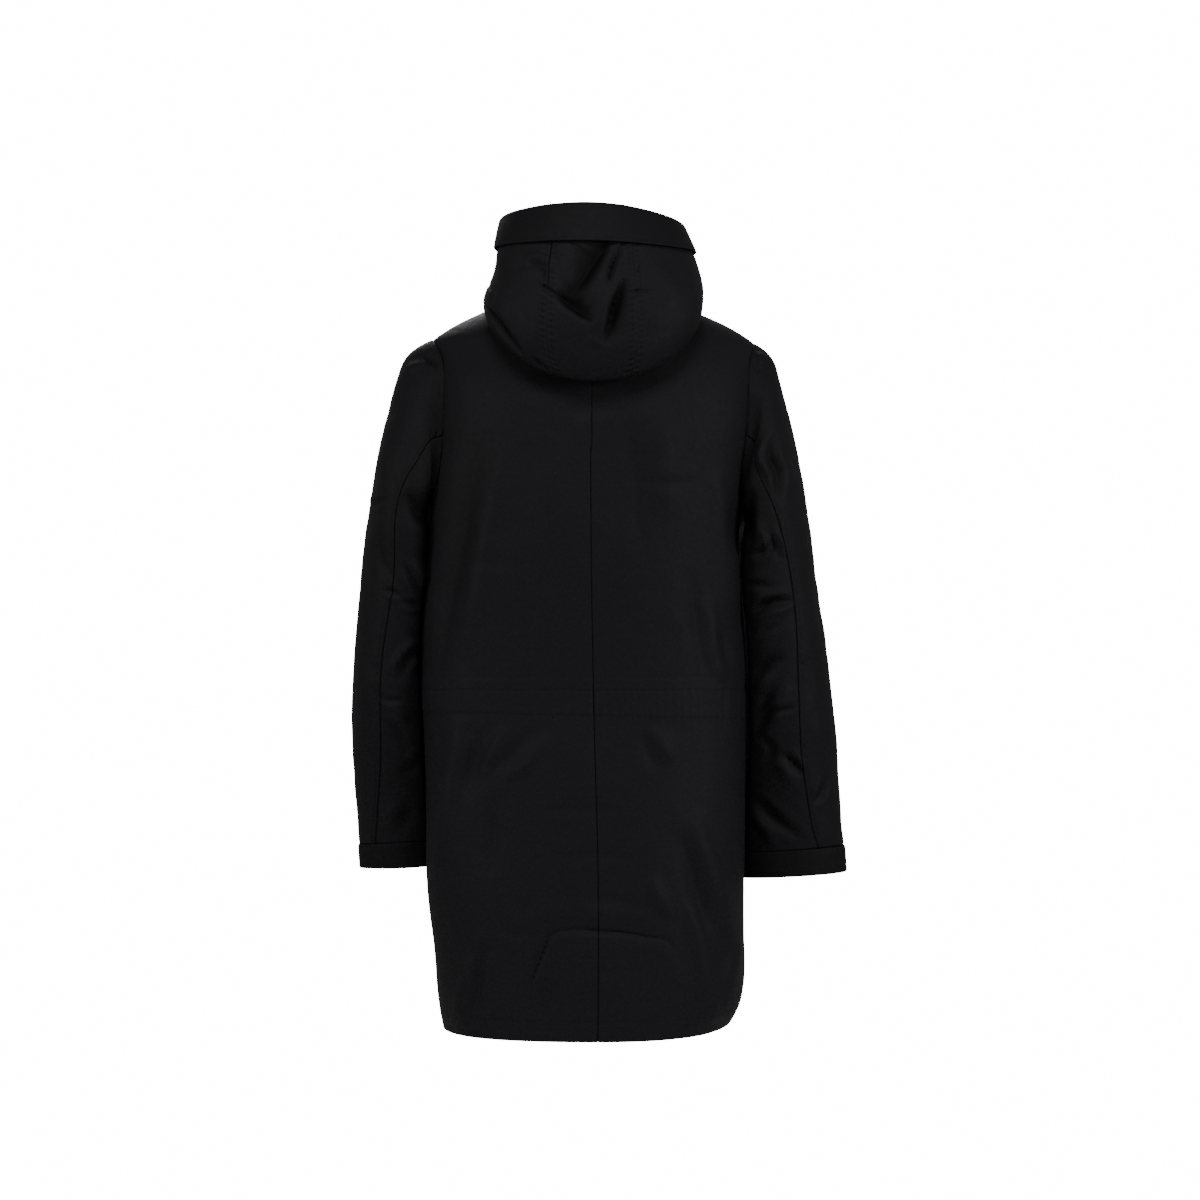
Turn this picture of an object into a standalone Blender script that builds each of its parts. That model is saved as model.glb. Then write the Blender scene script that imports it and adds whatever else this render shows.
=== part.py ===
"""Hooded parka coat, worn and hollow: every cut piece is a closed wall of cloth on one shared outer form.

The front faces -Y, +X is the wearer's left and +Z is up. The origin is the centre of the neck at shoulder
level. Sizes are in centimetres, turned to metres when the meshes are made.
"""

import math

import bpy
import numpy as np

CM = 0.01
LEFT, RIGHT = 1, -1
BACK, FRONT = 1, -1
SIDE_NAMES = {LEFT: "left", RIGHT: "right"}
FACE_NAMES = {BACK: "back", FRONT: "front"}

# Driving dimensions
CLOTH = 0.22  # wall: a heavy cotton with its lining
SEAM_GAP = 0.02  # each piece stays this far back from its seam line
ARM_LEVEL = -17.0  # height where the armhole's straight edge ends
ARMPIT_DROP = 6.5  # from there down to the armpit
CORNER = 0.94  # the armhole edge, as a share of the half width at arm level
ROUNDNESS = 2.4  # of the body's cross-section: 2 is an ellipse
NECK_SHARE = 0.41  # the neck point, as a share of the shoulder point's distance from the centre
RIDGE_SLOPE = 0.5  # fall of the shoulder per centimetre outwards
SHOULDER_CROWN = 0.45  # how far the shoulder's outer half stands above a straight slope
NECK_RISE = 0.2  # the same inside the neck hole, where only the curve of the cloth needs it
NECK_DEPTH = {BACK: 1.55, FRONT: 7.65}  # from the neck points down to the centre of the neckline
NECK_POWER = {BACK: 2.5, FRONT: 2.0}
ARCH_POWER = {BACK: 2.6, FRONT: 2.2}  # fullness of the body between the arm level and the shoulder seam
SEAM_Y = (0.5, -0.5)  # the shoulder seam's y at the neck point and at the shoulder point
SHOULDER = {LEFT: (20.9, -1.9), RIGHT: (21.2, -2.3)}  # x and z of the shoulder point
HEM_SIDE = {LEFT: -91.6, RIGHT: -90.2}
HEM_CENTRE = {BACK: -91.92, FRONT: -91.3}
PLACKET_FROM, PLACKET_TO = -1.6, 4.4  # the fly strip's edges, from the centre line towards the wearer's left
PLACKET_CLOTH, PIECE_GAP = 0.2, 0.1
CASING_TOP, CASING_FOOT = -46.9, -50.2
CASING_CLOTH, CASING_GAP = 0.1, 0.3

# Height, and the coat's edge there on each side (the wearer's left edge stands further out)
EDGE = {
    LEFT: ((-92.5, 19.3), (-89, 20.0), (-85, 20.4), (-80, 20.8), (-75, 21.4), (-66, 21.6), (-55, 21.9),
           (-47, 22.3), (-42, 22.4), (-36, 22.1), (-29, 21.4), (-23, 21.0), (-17, 20.6)),
    RIGHT: ((-92.5, 17.2), (-89.5, 19.0), (-87, 19.7), (-80, 19.9), (-70, 19.9), (-60, 20.1), (-52, 20.2),
            (-42, 20.0), (-36, 19.5), (-29, 19.2), (-25, 19.6), (-21, 20.2), (-17, 20.9)),
}
# Height, and the depth of the back and of the front from the middle of the coat
DEPTH = {
    BACK: ((-92.5, 13.6), (-80, 14.0), (-66, 13.6), (-55, 12.8), (-47, 12.4), (-30, 12.8), (-17, 12.5)),
    FRONT: ((-92.5, 13.6), (-78, 13.6), (-60, 13.0), (-47, 12.3), (-30, 12.7), (-17, 12.3)),
}
# Height, and the x of the centre back and centre front
CENTRE_LINE = ((-92.5, -0.75), (-66, -0.7), (-56, -0.4), (-47, -0.2), (-36, 0), (10, 0))
# Height above the arm level, and how far the armhole's edge stands out from where it starts
ARMHOLE = {
    LEFT: ((0, 0), (3, -0.2), (7, -0.25), (11, -0.15), (13.2, 0.35), (15.1, 1.54)),
    RIGHT: ((0, 0), (3, 0.35), (7, 0.6), (11, 0.8), (13, 1.1), (14.7, 1.55)),
}

# One row for each sleeve section: its outermost x and z, its innermost x and z, its middle's y, its half depth
SLEEVE = {
    LEFT: ((20.9, -1.9, 21.0, -23.5, -0.2, 7.6), (22.6, -2.7, 21.6, -23.7, -0.3, 7.8),
           (24.3, -4.1, 21.1, -24.2, -0.4, 8.0), (25.5, -6.6, 20.9, -25.0, -0.6, 8.2),
           (26.4, -9.8, 20.7, -25.9, -0.8, 8.3), (27.2, -13.5, 20.5, -26.9, -1.0, 8.3),
           (28.1, -17.5, 20.2, -28.4, -1.2, 8.2), (28.9, -21.5, 20.0, -30.3, -1.4, 8.1),
           (29.6, -26.0, 19.9, -33.1, -1.6, 7.9), (30.2, -31.0, 19.9, -36.6, -1.9, 7.7),
           (30.8, -37.0, 19.9, -41.1, -2.2, 7.4), (31.3, -43.0, 19.9, -46.0, -2.6, 7.1),
           (31.7, -49.1, 19.8, -51.0, -3.2, 6.8), (31.7, -55.2, 19.8, -56.0, -4.1, 6.4),
           (31.4, -60.8, 19.8, -61.0, -5.2, 6.0), (31.2, -65.6, 19.8, -65.2, -6.2, 5.7),
           (31.1, -68.3, 19.8, -67.6, -6.8, 5.5), (30.9, -71.5, 19.6, -71.0, -7.4, 5.4)),
    RIGHT: ((21.2, -2.3, 20.0, -23.5, -0.2, 7.6), (22.6, -3.3, 20.7, -23.8, -0.3, 7.8),
            (23.8, -4.8, 19.8, -24.3, -0.4, 8.0), (24.5, -7.0, 19.2, -25.1, -0.5, 8.1),
            (25.2, -9.7, 18.9, -26.1, -0.6, 8.2), (26.1, -13.0, 18.8, -27.2, -0.8, 8.2),
            (27.0, -17.0, 18.4, -28.8, -1.0, 8.1), (27.8, -21.5, 18.1, -30.8, -1.2, 8.0),
            (28.6, -26.5, 18.0, -33.7, -1.4, 7.8), (29.4, -31.7, 18.1, -37.2, -1.7, 7.6),
            (30.2, -37.4, 18.2, -41.7, -2.0, 7.3), (31.0, -43.6, 18.3, -46.5, -2.3, 7.0),
            (31.8, -49.8, 18.4, -51.7, -2.7, 6.7), (32.3, -55.7, 18.6, -56.7, -3.2, 6.3),
            (32.8, -61.2, 18.9, -61.9, -3.8, 5.8), (33.1, -66.1, 19.1, -66.9, -4.3, 5.3),
            (33.4, -68.3, 19.3, -69.3, -4.6, 5.0), (33.7, -71.8, 19.3, -72.6, -4.9, 4.8)),
}
CUFF_STATION, LAST_STATION = 16, 17
# Station, and the back sleeve seam's angle round the sleeve from its outermost line, in degrees
BACK_SEAM = {
    LEFT: ((0, 98), (2, 95), (4, 93), (6, 81), (7, 79), (9, 83), (11, 73), (13, 72), (15, 60), (17, 56)),
    RIGHT: ((0, 116), (2, 108), (3, 102), (5, 96), (6, 88), (8, 72), (10, 68), (12, 74), (14, 72), (15.5, 63),
            (17, 61)),
}
FRONT_SEAM = 112
BODY_CLEARANCE, PRESS = 0.48, 0.25  # from a sleeve to the coat's side, and how softly the sleeve yields there

# Hood: one table for each angle round the neck, from the centre front (0) past the wearer's left side (90) and
# the centre back (180) to the wearer's right side (270). Each holds the x, y and z from the neck seam to the rim.
HOOD = {
    0: ((0.3, -10.0, -3.2), (0.4, -11.0, -2.7), (0.5, -11.9, -1.8), (0.6, -12.4, -0.5), (0.8, -12.7, 0.8),
        (1.0, -12.8, 2.0), (1.3, -12.8, 3.1), (1.6, -12.7, 4.0), (1.8, -12.6, 4.8), (2.4, -12.3, 7.8)),
    40: ((6.0, -7.3, 0.5), (7.2, -8.4, 0.6), (8.5, -9.2, 1.3), (9.5, -9.6, 2.5), (10.1, -9.8, 3.7),
         (10.3, -9.8, 4.8), (10.3, -9.7, 5.9), (10.1, -9.5, 7.0), (9.9, -9.3, 7.9), (9.5, -8.9, 11.2)),
    90: ((8.5, 0.6, 4.4), (9.9, 0.8, 4.9), (11.4, 1.0, 4.2), (12.7, 1.2, 3.1), (13.5, 1.4, 2.6),
         (13.9, 1.5, 3.6), (13.2, 1.5, 5.2), (11.7, 1.4, 7.4), (11.8, 1.3, 9.4), (11.6, 1.0, 13.0)),
    135: ((5.7, 5.6, 3.4), (7.6, 7.9, 3.2), (9.2, 10.2, 0.2), (9.9, 11.6, -3.0), (10.6, 12.5, -4.2),
          (11.8, 13.2, -2.4), (12.3, 13.4, 1.2), (11.6, 12.8, 5.0), (11.0, 11.6, 9.1), (9.6, 10.3, 13.6)),
    180: ((0.0, 7.4, 2.85), (0.0, 9.9, 2.6), (0.0, 12.7, -2.4), (0.0, 13.8, -6.9), (0.0, 14.9, -8.4),
          (0.0, 16.5, -6.6), (0.0, 17.6, -1.6), (0.0, 17.0, 3.9), (0.0, 15.7, 9.2), (-0.2, 14.0, 14.3)),
    225: ((-5.7, 5.6, 3.4), (-7.6, 7.9, 3.0), (-9.4, 10.2, -0.2), (-10.2, 11.6, -3.4), (-11.0, 12.5, -4.6),
          (-12.3, 13.2, -2.6), (-12.8, 13.4, 1.0), (-12.3, 12.8, 4.8), (-11.4, 11.6, 8.6), (-9.8, 10.3, 12.8)),
    270: ((-8.5, 0.6, 4.4), (-9.9, 0.8, 4.8), (-11.4, 1.0, 3.8), (-12.7, 1.2, 2.4), (-13.6, 1.4, 2.2),
          (-14.0, 1.5, 3.6), (-13.8, 1.5, 5.6), (-13.4, 1.4, 7.4), (-12.9, 1.3, 8.9), (-11.6, 1.0, 12.2)),
    320: ((-6.0, -7.3, 0.5), (-7.2, -8.4, 0.6), (-8.5, -9.2, 1.3), (-9.5, -9.6, 2.5), (-10.1, -9.8, 3.7),
          (-10.3, -9.8, 4.8), (-10.3, -9.7, 5.9), (-10.2, -9.5, 7.0), (-10.0, -9.3, 7.9), (-9.6, -8.9, 11.0)),
    360: ((-0.3, -10.0, -3.2), (-0.4, -11.0, -2.7), (-0.5, -11.9, -1.8), (-0.6, -12.4, -0.5), (-0.8, -12.7, 0.8),
          (-1.0, -12.8, 2.0), (-1.3, -12.8, 3.1), (-1.6, -12.7, 4.0), (-1.8, -12.6, 4.8), (-2.4, -12.3, 7.8)),
}
HOOD_SEAMS = (163, 197)  # angles of the two seams beside the centre panel
BAND_FROM, HOOD_END = 8.0, 8.9  # rows of the tables above where the turned-back band starts and the hood stops
HOOD_LIFT = 0.3  # the hood's lower edge above the neckline
BAND_PROUD = 0.3
BAND_CLOTH = 0.18

# Broad folds: height in cm (below 0 for a trough), half width, and the x and z along each. The fronts' are plain.
BACK_FOLDS = (
    (-0.5, 2.2, ((13.3, -14.3), (15.2, -20.6), (16.5, -28.0), (18.0, -34.4), (19.2, -43.5), (20.0, -46.8))),
    (0.6, 2.0, ((17.1, -52.4), (17.0, -54.5), (17.6, -58.5), (18.5, -64.0), (19.2, -68.0), (20.0, -71.5))),
    (-0.5, 1.8, ((12.9, -53.0), (13.8, -54.8), (15.0, -57.3), (16.2, -61.0))),
    (0.5, 1.8, ((-15.9, -19.3), (-16.6, -26.8), (-17.6, -33.1), (-18.4, -37.8))),
    (-0.4, 1.8, ((-12.7, -36.0), (-13.9, -43.0), (-14.6, -47.0))),
    (0.6, 2.0, ((-12.9, -63.0), (-14.4, -68.0), (-15.9, -73.0), (-17.2, -79.2))),
    (0.5, 1.6, ((-12.3, -74.2), (-13.6, -79.2), (-15.6, -88.0))),
    (0.4, 1.6, ((15.2, -80.8), (16.8, -88.5))),
    (0.4, 1.6, ((26.5, -12.7), (26.7, -23.0))),
    (-0.8, 1.5, ((24.6, -21.5), (22.8, -25.9))),
    (-0.4, 1.4, ((27.7, -27.3), (26.9, -31.7), (25.6, -33.0))),
    (0.7, 1.1, ((24.0, -42.1), (25.2, -43.9), (26.1, -45.7))),
    (-0.5, 1.2, ((-23.8, -14.8), (-23.1, -17.3), (-24.2, -20.4), (-24.0, -23.0))),
    (-0.5, 1.2, ((-22.7, -36.7), (-26.0, -36.1))),
    (-0.6, 1.2, ((-24.0, -43.7), (-23.5, -47.0), (-22.6, -50.4))),
    (-0.5, 1.2, ((-23.5, -64.2), (-27.3, -66.4))),
    (-0.5, 1.0, ((-24.7, -55.7), (-27.3, -58.6))),
)
FRONT_FOLDS = (
    (-0.4, 2.0, ((11.0, -14.0), (13.5, -24.0), (14.5, -36.0))),
    (-0.4, 2.0, ((-11.5, -13.0), (-13.0, -25.0), (-14.0, -34.0))),
    (0.5, 2.2, ((12.5, -56.0), (14.0, -70.0), (15.0, -84.0))),
    (0.5, 2.2, ((-12.0, -58.0), (-13.5, -72.0), (-14.0, -85.0))),
    (-0.5, 1.4, ((24.0, -35.0), (28.0, -38.0))),
    (-0.5, 1.4, ((24.5, -46.0), (29.0, -43.0))),
    (-0.5, 1.4, ((-23.5, -36.0), (-27.5, -39.5))),
    (-0.5, 1.4, ((-24.5, -47.5), (-29.0, -44.0))),
)
HOOD_FOLDS = (
    (-1.0, 1.1, ((7.2, 4.1), (4.3, 2.1), (2.0, 0.5), (0.8, -0.7))),
    (-1.2, 1.2, ((-3.0, 8.0), (-0.7, 5.9), (1.2, 3.7), (2.4, 2.7))),
    (-0.6, 0.9, ((-3.6, 8.0), (-2.6, 5.6), (-2.4, 4.2))),
    (-1.2, 1.1, ((-3.4, 2.9), (-2.6, 0.0), (-2.0, -2.3), (-1.3, -3.1))),
    (0.4, 1.3, ((8.8, 6.6), (7.1, 6.9), (5.6, 6.2))),
)


def spline(table, at):
    """Values at each place of `at`, on the smooth curve through a table of rows (place, value, ...)."""
    rows = np.array(table, float)
    places, values = rows[:, 0], rows[:, 1:]
    step = np.diff(places)[:, None]
    slope = np.diff(values, axis=0) / step
    system, right = np.eye(len(places)), np.zeros_like(values)
    for i in range(1, len(places) - 1):
        before, after = step[i - 1, 0], step[i, 0]
        system[i, i - 1 : i + 2] = before, 2 * (before + after), after
        right[i] = 6 * (slope[i] - slope[i - 1])
    bend = np.linalg.solve(system, right)
    at = np.clip(np.atleast_1d(np.asarray(at, float)), places[0], places[-1])
    k = np.clip(np.searchsorted(places, at) - 1, 0, len(places) - 2)
    s, w = (at - places[k])[:, None], step[k]
    start = slope[k] - w * (2 * bend[k] + bend[k + 1]) / 6
    found = values[k] + s * start + bend[k] * s**2 / 2 + (bend[k + 1] - bend[k]) * s**3 / (6 * w)
    return found[:, 0] if found.shape[1] == 1 else found


def smooth_step(value):
    value = np.clip(value, 0, 1)
    return value * value * (3 - 2 * value)


def unit(vectors):
    return vectors / np.maximum(np.linalg.norm(vectors, axis=-1, keepdims=True), 1e-12)


# The body


def trunk(side, face, theta, z):
    """Points on the body below the arms; theta is 0 at the centre line and a right angle at the side seam."""
    theta, z = np.broadcast_arrays(np.asarray(theta, float), np.asarray(z, float))
    shape, theta, z = z.shape, theta.ravel(), z.ravel()
    centre = spline(CENTRE_LINE, z)
    reach = side * spline(EDGE[side], z) - centre
    x = centre + reach * np.sin(theta) ** (2 / ROUNDNESS)
    y = face * spline(DEPTH[face], z) * np.maximum(np.cos(theta), 0) ** (2 / ROUNDNESS)
    return np.stack([x, y, z], axis=-1).reshape(*shape, 3)


def shoulder_height(side, x):
    """The ridge between front and back: the shoulder seam, and the line the cloth bends over by the neck."""
    shoulder_x, shoulder_z = SHOULDER[side]
    neck_x = NECK_SHARE * shoulder_x
    outwards = np.clip((x - neck_x) / (shoulder_x - neck_x), 0, 1)
    outside = shoulder_z + RIDGE_SLOPE * (shoulder_x - np.maximum(x, neck_x))
    outside = outside + SHOULDER_CROWN * np.sin(math.pi * outwards**2)
    return outside + NECK_RISE * np.maximum(neck_x - x, 0)


def neckline_height(side, face, x):
    neck_x = NECK_SHARE * SHOULDER[side][0]
    top = shoulder_height(side, neck_x)
    return top - NECK_DEPTH[face] * (1 - np.minimum(x / neck_x, 1) ** NECK_POWER[face])


def chest(side, face, share, rise):
    """Points above the arm level: share is 0 at the centre line and 1 at the armhole, and rise is 0 at the arm
    level and 1 at the shoulder seam or the neckline."""
    share, rise = np.broadcast_arrays(np.asarray(share, float), np.asarray(rise, float))
    top_x = share * SHOULDER[side][0]
    ridge = shoulder_height(side, top_x)
    neck = neckline_height(side, face, top_x)
    in_neck = share < NECK_SHARE - 1e-9
    end = np.where(in_neck, (neck - ARM_LEVEL) / (ridge - ARM_LEVEL), 1.0)
    part = rise * end
    z = ARM_LEVEL + part * (ridge - ARM_LEVEL)
    start = CORNER * spline(EDGE[side], [ARM_LEVEL])[0]
    edge = start + spline(ARMHOLE[side], (z - ARM_LEVEL).ravel()).reshape(z.shape)
    depth = spline(DEPTH[face], [ARM_LEVEL])[0] * (1 - (share * CORNER) ** ROUNDNESS) ** (1 / ROUNDNESS)
    outwards = np.clip((share - NECK_SHARE) / (1 - NECK_SHARE), 0, 1)
    seam_y = SEAM_Y[0] + (SEAM_Y[1] - SEAM_Y[0]) * outwards
    y = seam_y + (face * depth - seam_y) * np.sqrt(np.maximum(1 - part ** ARCH_POWER[face], 0))
    return np.stack([side * share * edge, y, z], axis=-1)


def body_grids(side, face, shares, side_steps, low_rows, high_rows):
    """The two grids of one front or back: below the arm level, and above it."""
    inner = np.arcsin((np.asarray(shares) * CORNER) ** (ROUNDNESS / 2))
    outer = inner[-1] + (math.pi / 2 - inner[-1]) * np.arange(1, side_steps + 1) / side_steps
    theta = np.concatenate([inner, outer])
    along = np.clip((theta - inner[-1]) / (math.pi / 2 - inner[-1]), 0, 1)
    top = ARM_LEVEL - ARMPIT_DROP * np.sqrt(1 - (1 - along) ** 2)
    hem = HEM_SIDE[side] + (HEM_CENTRE[face] - HEM_SIDE[side]) * np.sqrt(np.maximum(np.cos(theta), 0))
    rows = np.asarray(low_rows)[:, None]
    low = trunk(side, face, theta[None, :], hem + rows * (top - hem))
    high = chest(side, face, np.asarray(shares)[None, :], np.asarray(high_rows)[:, None])
    high[0] = low[-1, : len(shares)]
    return low, high


def armhole(side, grids, shares):
    """The armhole's points, from the shoulder down the back, under the arm and up the front."""
    last = len(shares) - 1
    back_low, back_high = grids[side, BACK]
    front_low, front_high = grids[side, FRONT]
    down = np.concatenate([back_high[::-1, last], back_low[-1, last + 1 :]])
    up = np.concatenate([front_low[-1, last + 1 : -1][::-1], front_high[:-1, last]])
    return np.concatenate([down, up])


def placket_grid(grids, shares):
    """The fly strip on the outside of the fronts, over the centre front line."""
    columns = {}
    for side in (LEFT, RIGHT):
        low, high = grids[side, FRONT]
        columns[side] = np.concatenate([low[:, : len(shares)], high[1:-1]])
    reach = CORNER * EDGE[LEFT][-1][1]
    part = (PLACKET_TO / reach - shares[1]) / (shares[2] - shares[1])
    over = -PLACKET_FROM / reach / shares[1]
    left, right = columns[LEFT], columns[RIGHT]
    grid = np.stack([right[:, 0] + (right[:, 1] - right[:, 0]) * over, left[:, 0], left[:, 1],
                     left[:, 1] + (left[:, 2] - left[:, 1]) * part], axis=1)
    return grid + grid_normals(grid) * (PLACKET_CLOTH + PIECE_GAP)


def casing_grid(shares, side_steps):
    """The waist casing, a strip against the inside of both backs."""
    inner = np.arcsin((np.asarray(shares) * CORNER) ** (ROUNDNESS / 2))
    outer = inner[-1] + (math.pi / 2 - inner[-1]) * np.arange(1, side_steps + 1) / side_steps
    theta = np.concatenate([inner, outer])
    heights = np.linspace(CASING_FOOT, CASING_TOP, 3)[:, None]
    right = trunk(RIGHT, BACK, theta[None, :0:-1], heights)
    left = trunk(LEFT, BACK, theta[None, :], heights)
    grid = np.concatenate([right, left], axis=1)
    return grid + grid_normals(grid) * (CLOTH + CASING_GAP)


# The sleeves


def sleeve_section(side, station, angle):
    """Points of the plain sleeve tube: angle is 0 on its outermost line and pi on its innermost, past the back."""
    found = spline([(i, *row) for i, row in enumerate(SLEEVE[side])], station)
    outer_x, outer_z, inner_x, inner_z, middle_y, half = (column[:, None] for column in found.T)
    along = (1 + np.cos(angle)) / 2
    x = side * (inner_x + (outer_x - inner_x) * along)
    y = middle_y + half * np.sin(angle)
    z = inner_z + (outer_z - inner_z) * along
    return np.stack([x, y, z], axis=-1)


def clear_of_body(points, side, share):
    """Moves a sleeve's points out of the coat's side, which presses the sleeve flat there."""
    x, y, z = points[..., 0], points[..., 1], points[..., 2]
    flat = z.ravel()
    back, front = (spline(DEPTH[face], flat).reshape(z.shape) for face in (BACK, FRONT))
    depth = np.where(y > 0, back, front)
    inside = np.maximum(1 - (np.abs(y) / depth) ** ROUNDNESS, 0) ** (1 / ROUNDNESS)
    wall = spline(EDGE[side], flat).reshape(z.shape) * inside + BODY_CLEARANCE
    beyond = side * x - wall
    eased = wall + PRESS * np.logaddexp(0, beyond / PRESS)
    moved = points.copy()
    moved[..., 0] = side * (side * x + share * (eased - side * x) * (z < ARM_LEVEL))
    return moved


def sleeve_grid(side, hole, seam_at, stations):
    """The whole sleeve as a grid of sections, closed round, whose first row is the armhole."""
    count = len(hole)
    pit = int(np.argmin(hole[:, 2]))
    ends = np.concatenate([hole, hole[:1]])
    length = np.concatenate([[0], np.cumsum(np.linalg.norm(np.diff(ends, axis=0), axis=1))])
    first = np.where(np.arange(count + 1) <= pit, length / length[pit] * math.pi,
                     math.pi + (length - length[pit]) / (length[-1] - length[pit]) * math.pi)
    stations = np.asarray(stations, float)
    back_seam = np.radians(spline(BACK_SEAM[side], stations))[:, None]
    front_seam = math.radians(360 - FRONT_SEAM)
    k = np.arange(count + 1)
    mark = (0, seam_at, pit, count - seam_at, count)
    wanted = np.zeros((len(stations), count + 1))
    limits = (0 * back_seam, back_seam, 0 * back_seam + math.pi, 0 * back_seam + front_seam,
              0 * back_seam + 2 * math.pi)
    for a, b, low, high in zip(mark, mark[1:], limits, limits[1:]):
        span = slice(a, b + 1)
        wanted[:, span] = low + (high - low) * (k[span] - a) / (b - a)
    settle = smooth_step(stations / 5)[:, None]
    angle = first[None, :] + settle * (wanted - first[None, :])
    points = sleeve_section(side, stations, angle)
    plain = sleeve_section(side, np.zeros(1), first[None, :])[0]
    fade = (1 - smooth_step(stations / 7))[:, None, None]
    points = points + (ends - plain)[None] * fade
    points = clear_of_body(points, side, smooth_step(stations / 2)[:, None])
    points[0] = ends
    return points


# The hood


def neckline(angle):
    """Points of the coat's neckline at each angle round the neck."""
    found = []
    for a in np.atleast_1d(angle):
        side = LEFT if a <= 180 else RIGHT
        face = FRONT if math.cos(math.radians(a)) > 0 else BACK
        share = min(NECK_SHARE * abs(math.sin(math.radians(a))), NECK_SHARE - 1e-6)
        found.append(chest(side, face, share, 1.0))
    return np.array(found)


def hood_surface(angle, row):
    """Points of the hood's outside for every angle (degrees round the neck) and row (0 neck seam, 9 rim)."""
    angles = sorted(HOOD)
    net = np.array([HOOD[a] for a in angles], float)
    count = net.shape[1]
    across = spline([(a, *net[i].ravel()) for i, a in enumerate(angles)], angle).reshape(-1, count, 3)
    across[:, 0] = neckline(angle) + (0, 0, HOOD_LIFT)
    flat = np.moveaxis(across, 1, 0).reshape(count, -1)
    found = spline([(i, *flat[i]) for i in range(count)], row)
    return found.reshape(len(np.atleast_1d(row)), -1, 3)


def grid_normals(grid):
    along = np.gradient(grid, axis=1)
    up = np.gradient(grid, axis=0)
    return unit(np.cross(along, up))


def band_grid(angle):
    """The turned-back band: down the outside of the hood, over the rim and a little way down inside."""
    rows = np.array([BAND_FROM, 8.3, 8.6, HOOD_END])
    outside = hood_surface(angle, rows)
    normal = grid_normals(hood_surface(angle, np.array([7.9, 8.2, 8.5, 8.8, 9.0])))
    out = np.stack([normal[0], normal[1], normal[2], normal[3]])
    reach = BAND_PROUD + BAND_CLOTH
    rim, rim_out = outside[-1], out[-1]
    below, end = hood_surface(angle, np.array([HOOD_END - 0.1, HOOD_END]))
    upward = unit(end - below)
    middle = -CLOTH / 2
    radius = reach + CLOTH / 2
    fold = [rim + rim_out * middle + radius * (math.cos(t) * rim_out + math.sin(t) * upward)
            for t in np.radians((0, 45, 90, 135, 180))]
    inside = hood_surface(angle, np.array([8.72]))[0] + out[-1] * (middle - radius)
    return np.stack([*(outside[:-1] + out[:-1] * reach), *fold, inside])


# From grids to closed walls


def panel(name, grids, flips):
    """One cloth piece: its grids joined where they meet, as points and four-sided faces that look out."""
    points, faces, start = [], [], 0
    for grid, flip in zip(grids, flips):
        rows, columns = grid.shape[:2]
        index = start + np.arange(rows * columns).reshape(rows, columns)
        around = [index[:-1, :-1], index[:-1, 1:], index[1:, 1:], index[1:, :-1]]
        quads = np.stack(around[::-1] if flip else around, axis=-1).reshape(-1, 4)
        points.append(grid.reshape(-1, 3))
        faces.append(quads)
        start += rows * columns
    points, faces = np.concatenate(points), np.concatenate(faces)
    _, first, index = np.unique(np.round(points, 5), axis=0, return_index=True, return_inverse=True)
    return {"name": name, "points": points[first], "faces": index.reshape(-1)[faces]}


def corner_normals(points, faces):
    """A unit normal at each point of a panel, from the faces round it."""
    a, b, c, d = (points[faces[:, i]] for i in range(4))
    across = np.cross(c - a, d - b)
    total = np.zeros_like(points)
    for i in range(4):
        np.add.at(total, faces[:, i], across)
    return unit(total)


def shared_normals(panels):
    """Sets each panel's own and shared normals; panels that meet at a seam get the same one there."""
    everything = np.concatenate([p["points"] for p in panels])
    own = [corner_normals(p["points"], p["faces"]) for p in panels]
    _, index = np.unique(np.round(everything, 4), axis=0, return_inverse=True)
    index = index.reshape(-1)
    total = np.zeros((index.max() + 1, 3))
    np.add.at(total, index, np.concatenate(own))
    together = unit(total)[index]
    start = 0
    for p, normals in zip(panels, own):
        p["own"], p["normals"] = normals, together[start : start + len(normals)]
        start += len(normals)


def distance_to_path(x, z, path):
    found = np.full(x.shape, np.inf)
    for (ax, az), (bx, bz) in zip(path, path[1:]):
        dx, dz = bx - ax, bz - az
        along = np.clip(((x - ax) * dx + (z - az) * dz) / (dx * dx + dz * dz), 0, 1)
        found = np.minimum(found, np.hypot(x - ax - along * dx, z - az - along * dz))
    return found


def fold(panels, face, folds):
    """Raises or sinks the panels along each fold, on the side that faces back or front."""
    for p in panels:
        points, normals = p["points"], p["normals"]
        turned = smooth_step(face * normals[:, 1] / 0.5)
        height = sum(h * np.exp(-((distance_to_path(points[:, 0], points[:, 2], path) / w) ** 2))
                     for h, w, path in folds)
        p["points"] = points + normals * (height * turned)[:, None]
    shared_normals(panels)


def free_edges(faces):
    """Edges with one face only, each in that face's direction."""
    ends = np.concatenate([faces[:, [i, (i + 1) % 4]] for i in range(4)])
    ends = ends[ends[:, 0] != ends[:, 1]]
    _, index, count = np.unique(np.sort(ends, axis=1), axis=0, return_inverse=True, return_counts=True)
    return ends[count[index.reshape(-1)] == 1]


def seam_shift(p, gap):
    """How far each edge point moves into its panel, so that two panels at a seam stay apart."""
    points, own, shared = p["points"], p["own"], p["normals"]
    edges = free_edges(p["faces"])
    inward = [[] for _ in points]
    for a, b in edges:
        along = unit(points[b] - points[a])
        for v in (a, b):
            inward[v].append(unit(np.cross(own[v], along)))
    shift = np.zeros_like(points)
    for v, ways in enumerate(inward):
        if not ways:
            continue
        lean = max(float(own[v] @ shared[v]), 0.35)
        if len(ways) == 1:
            shift[v] = gap / lean * ways[0]
        else:
            shift[v] = gap / lean * (ways[0] + ways[1]) / max(1 + float(ways[0] @ ways[1]), 0.4)
    return shift, edges


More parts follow.
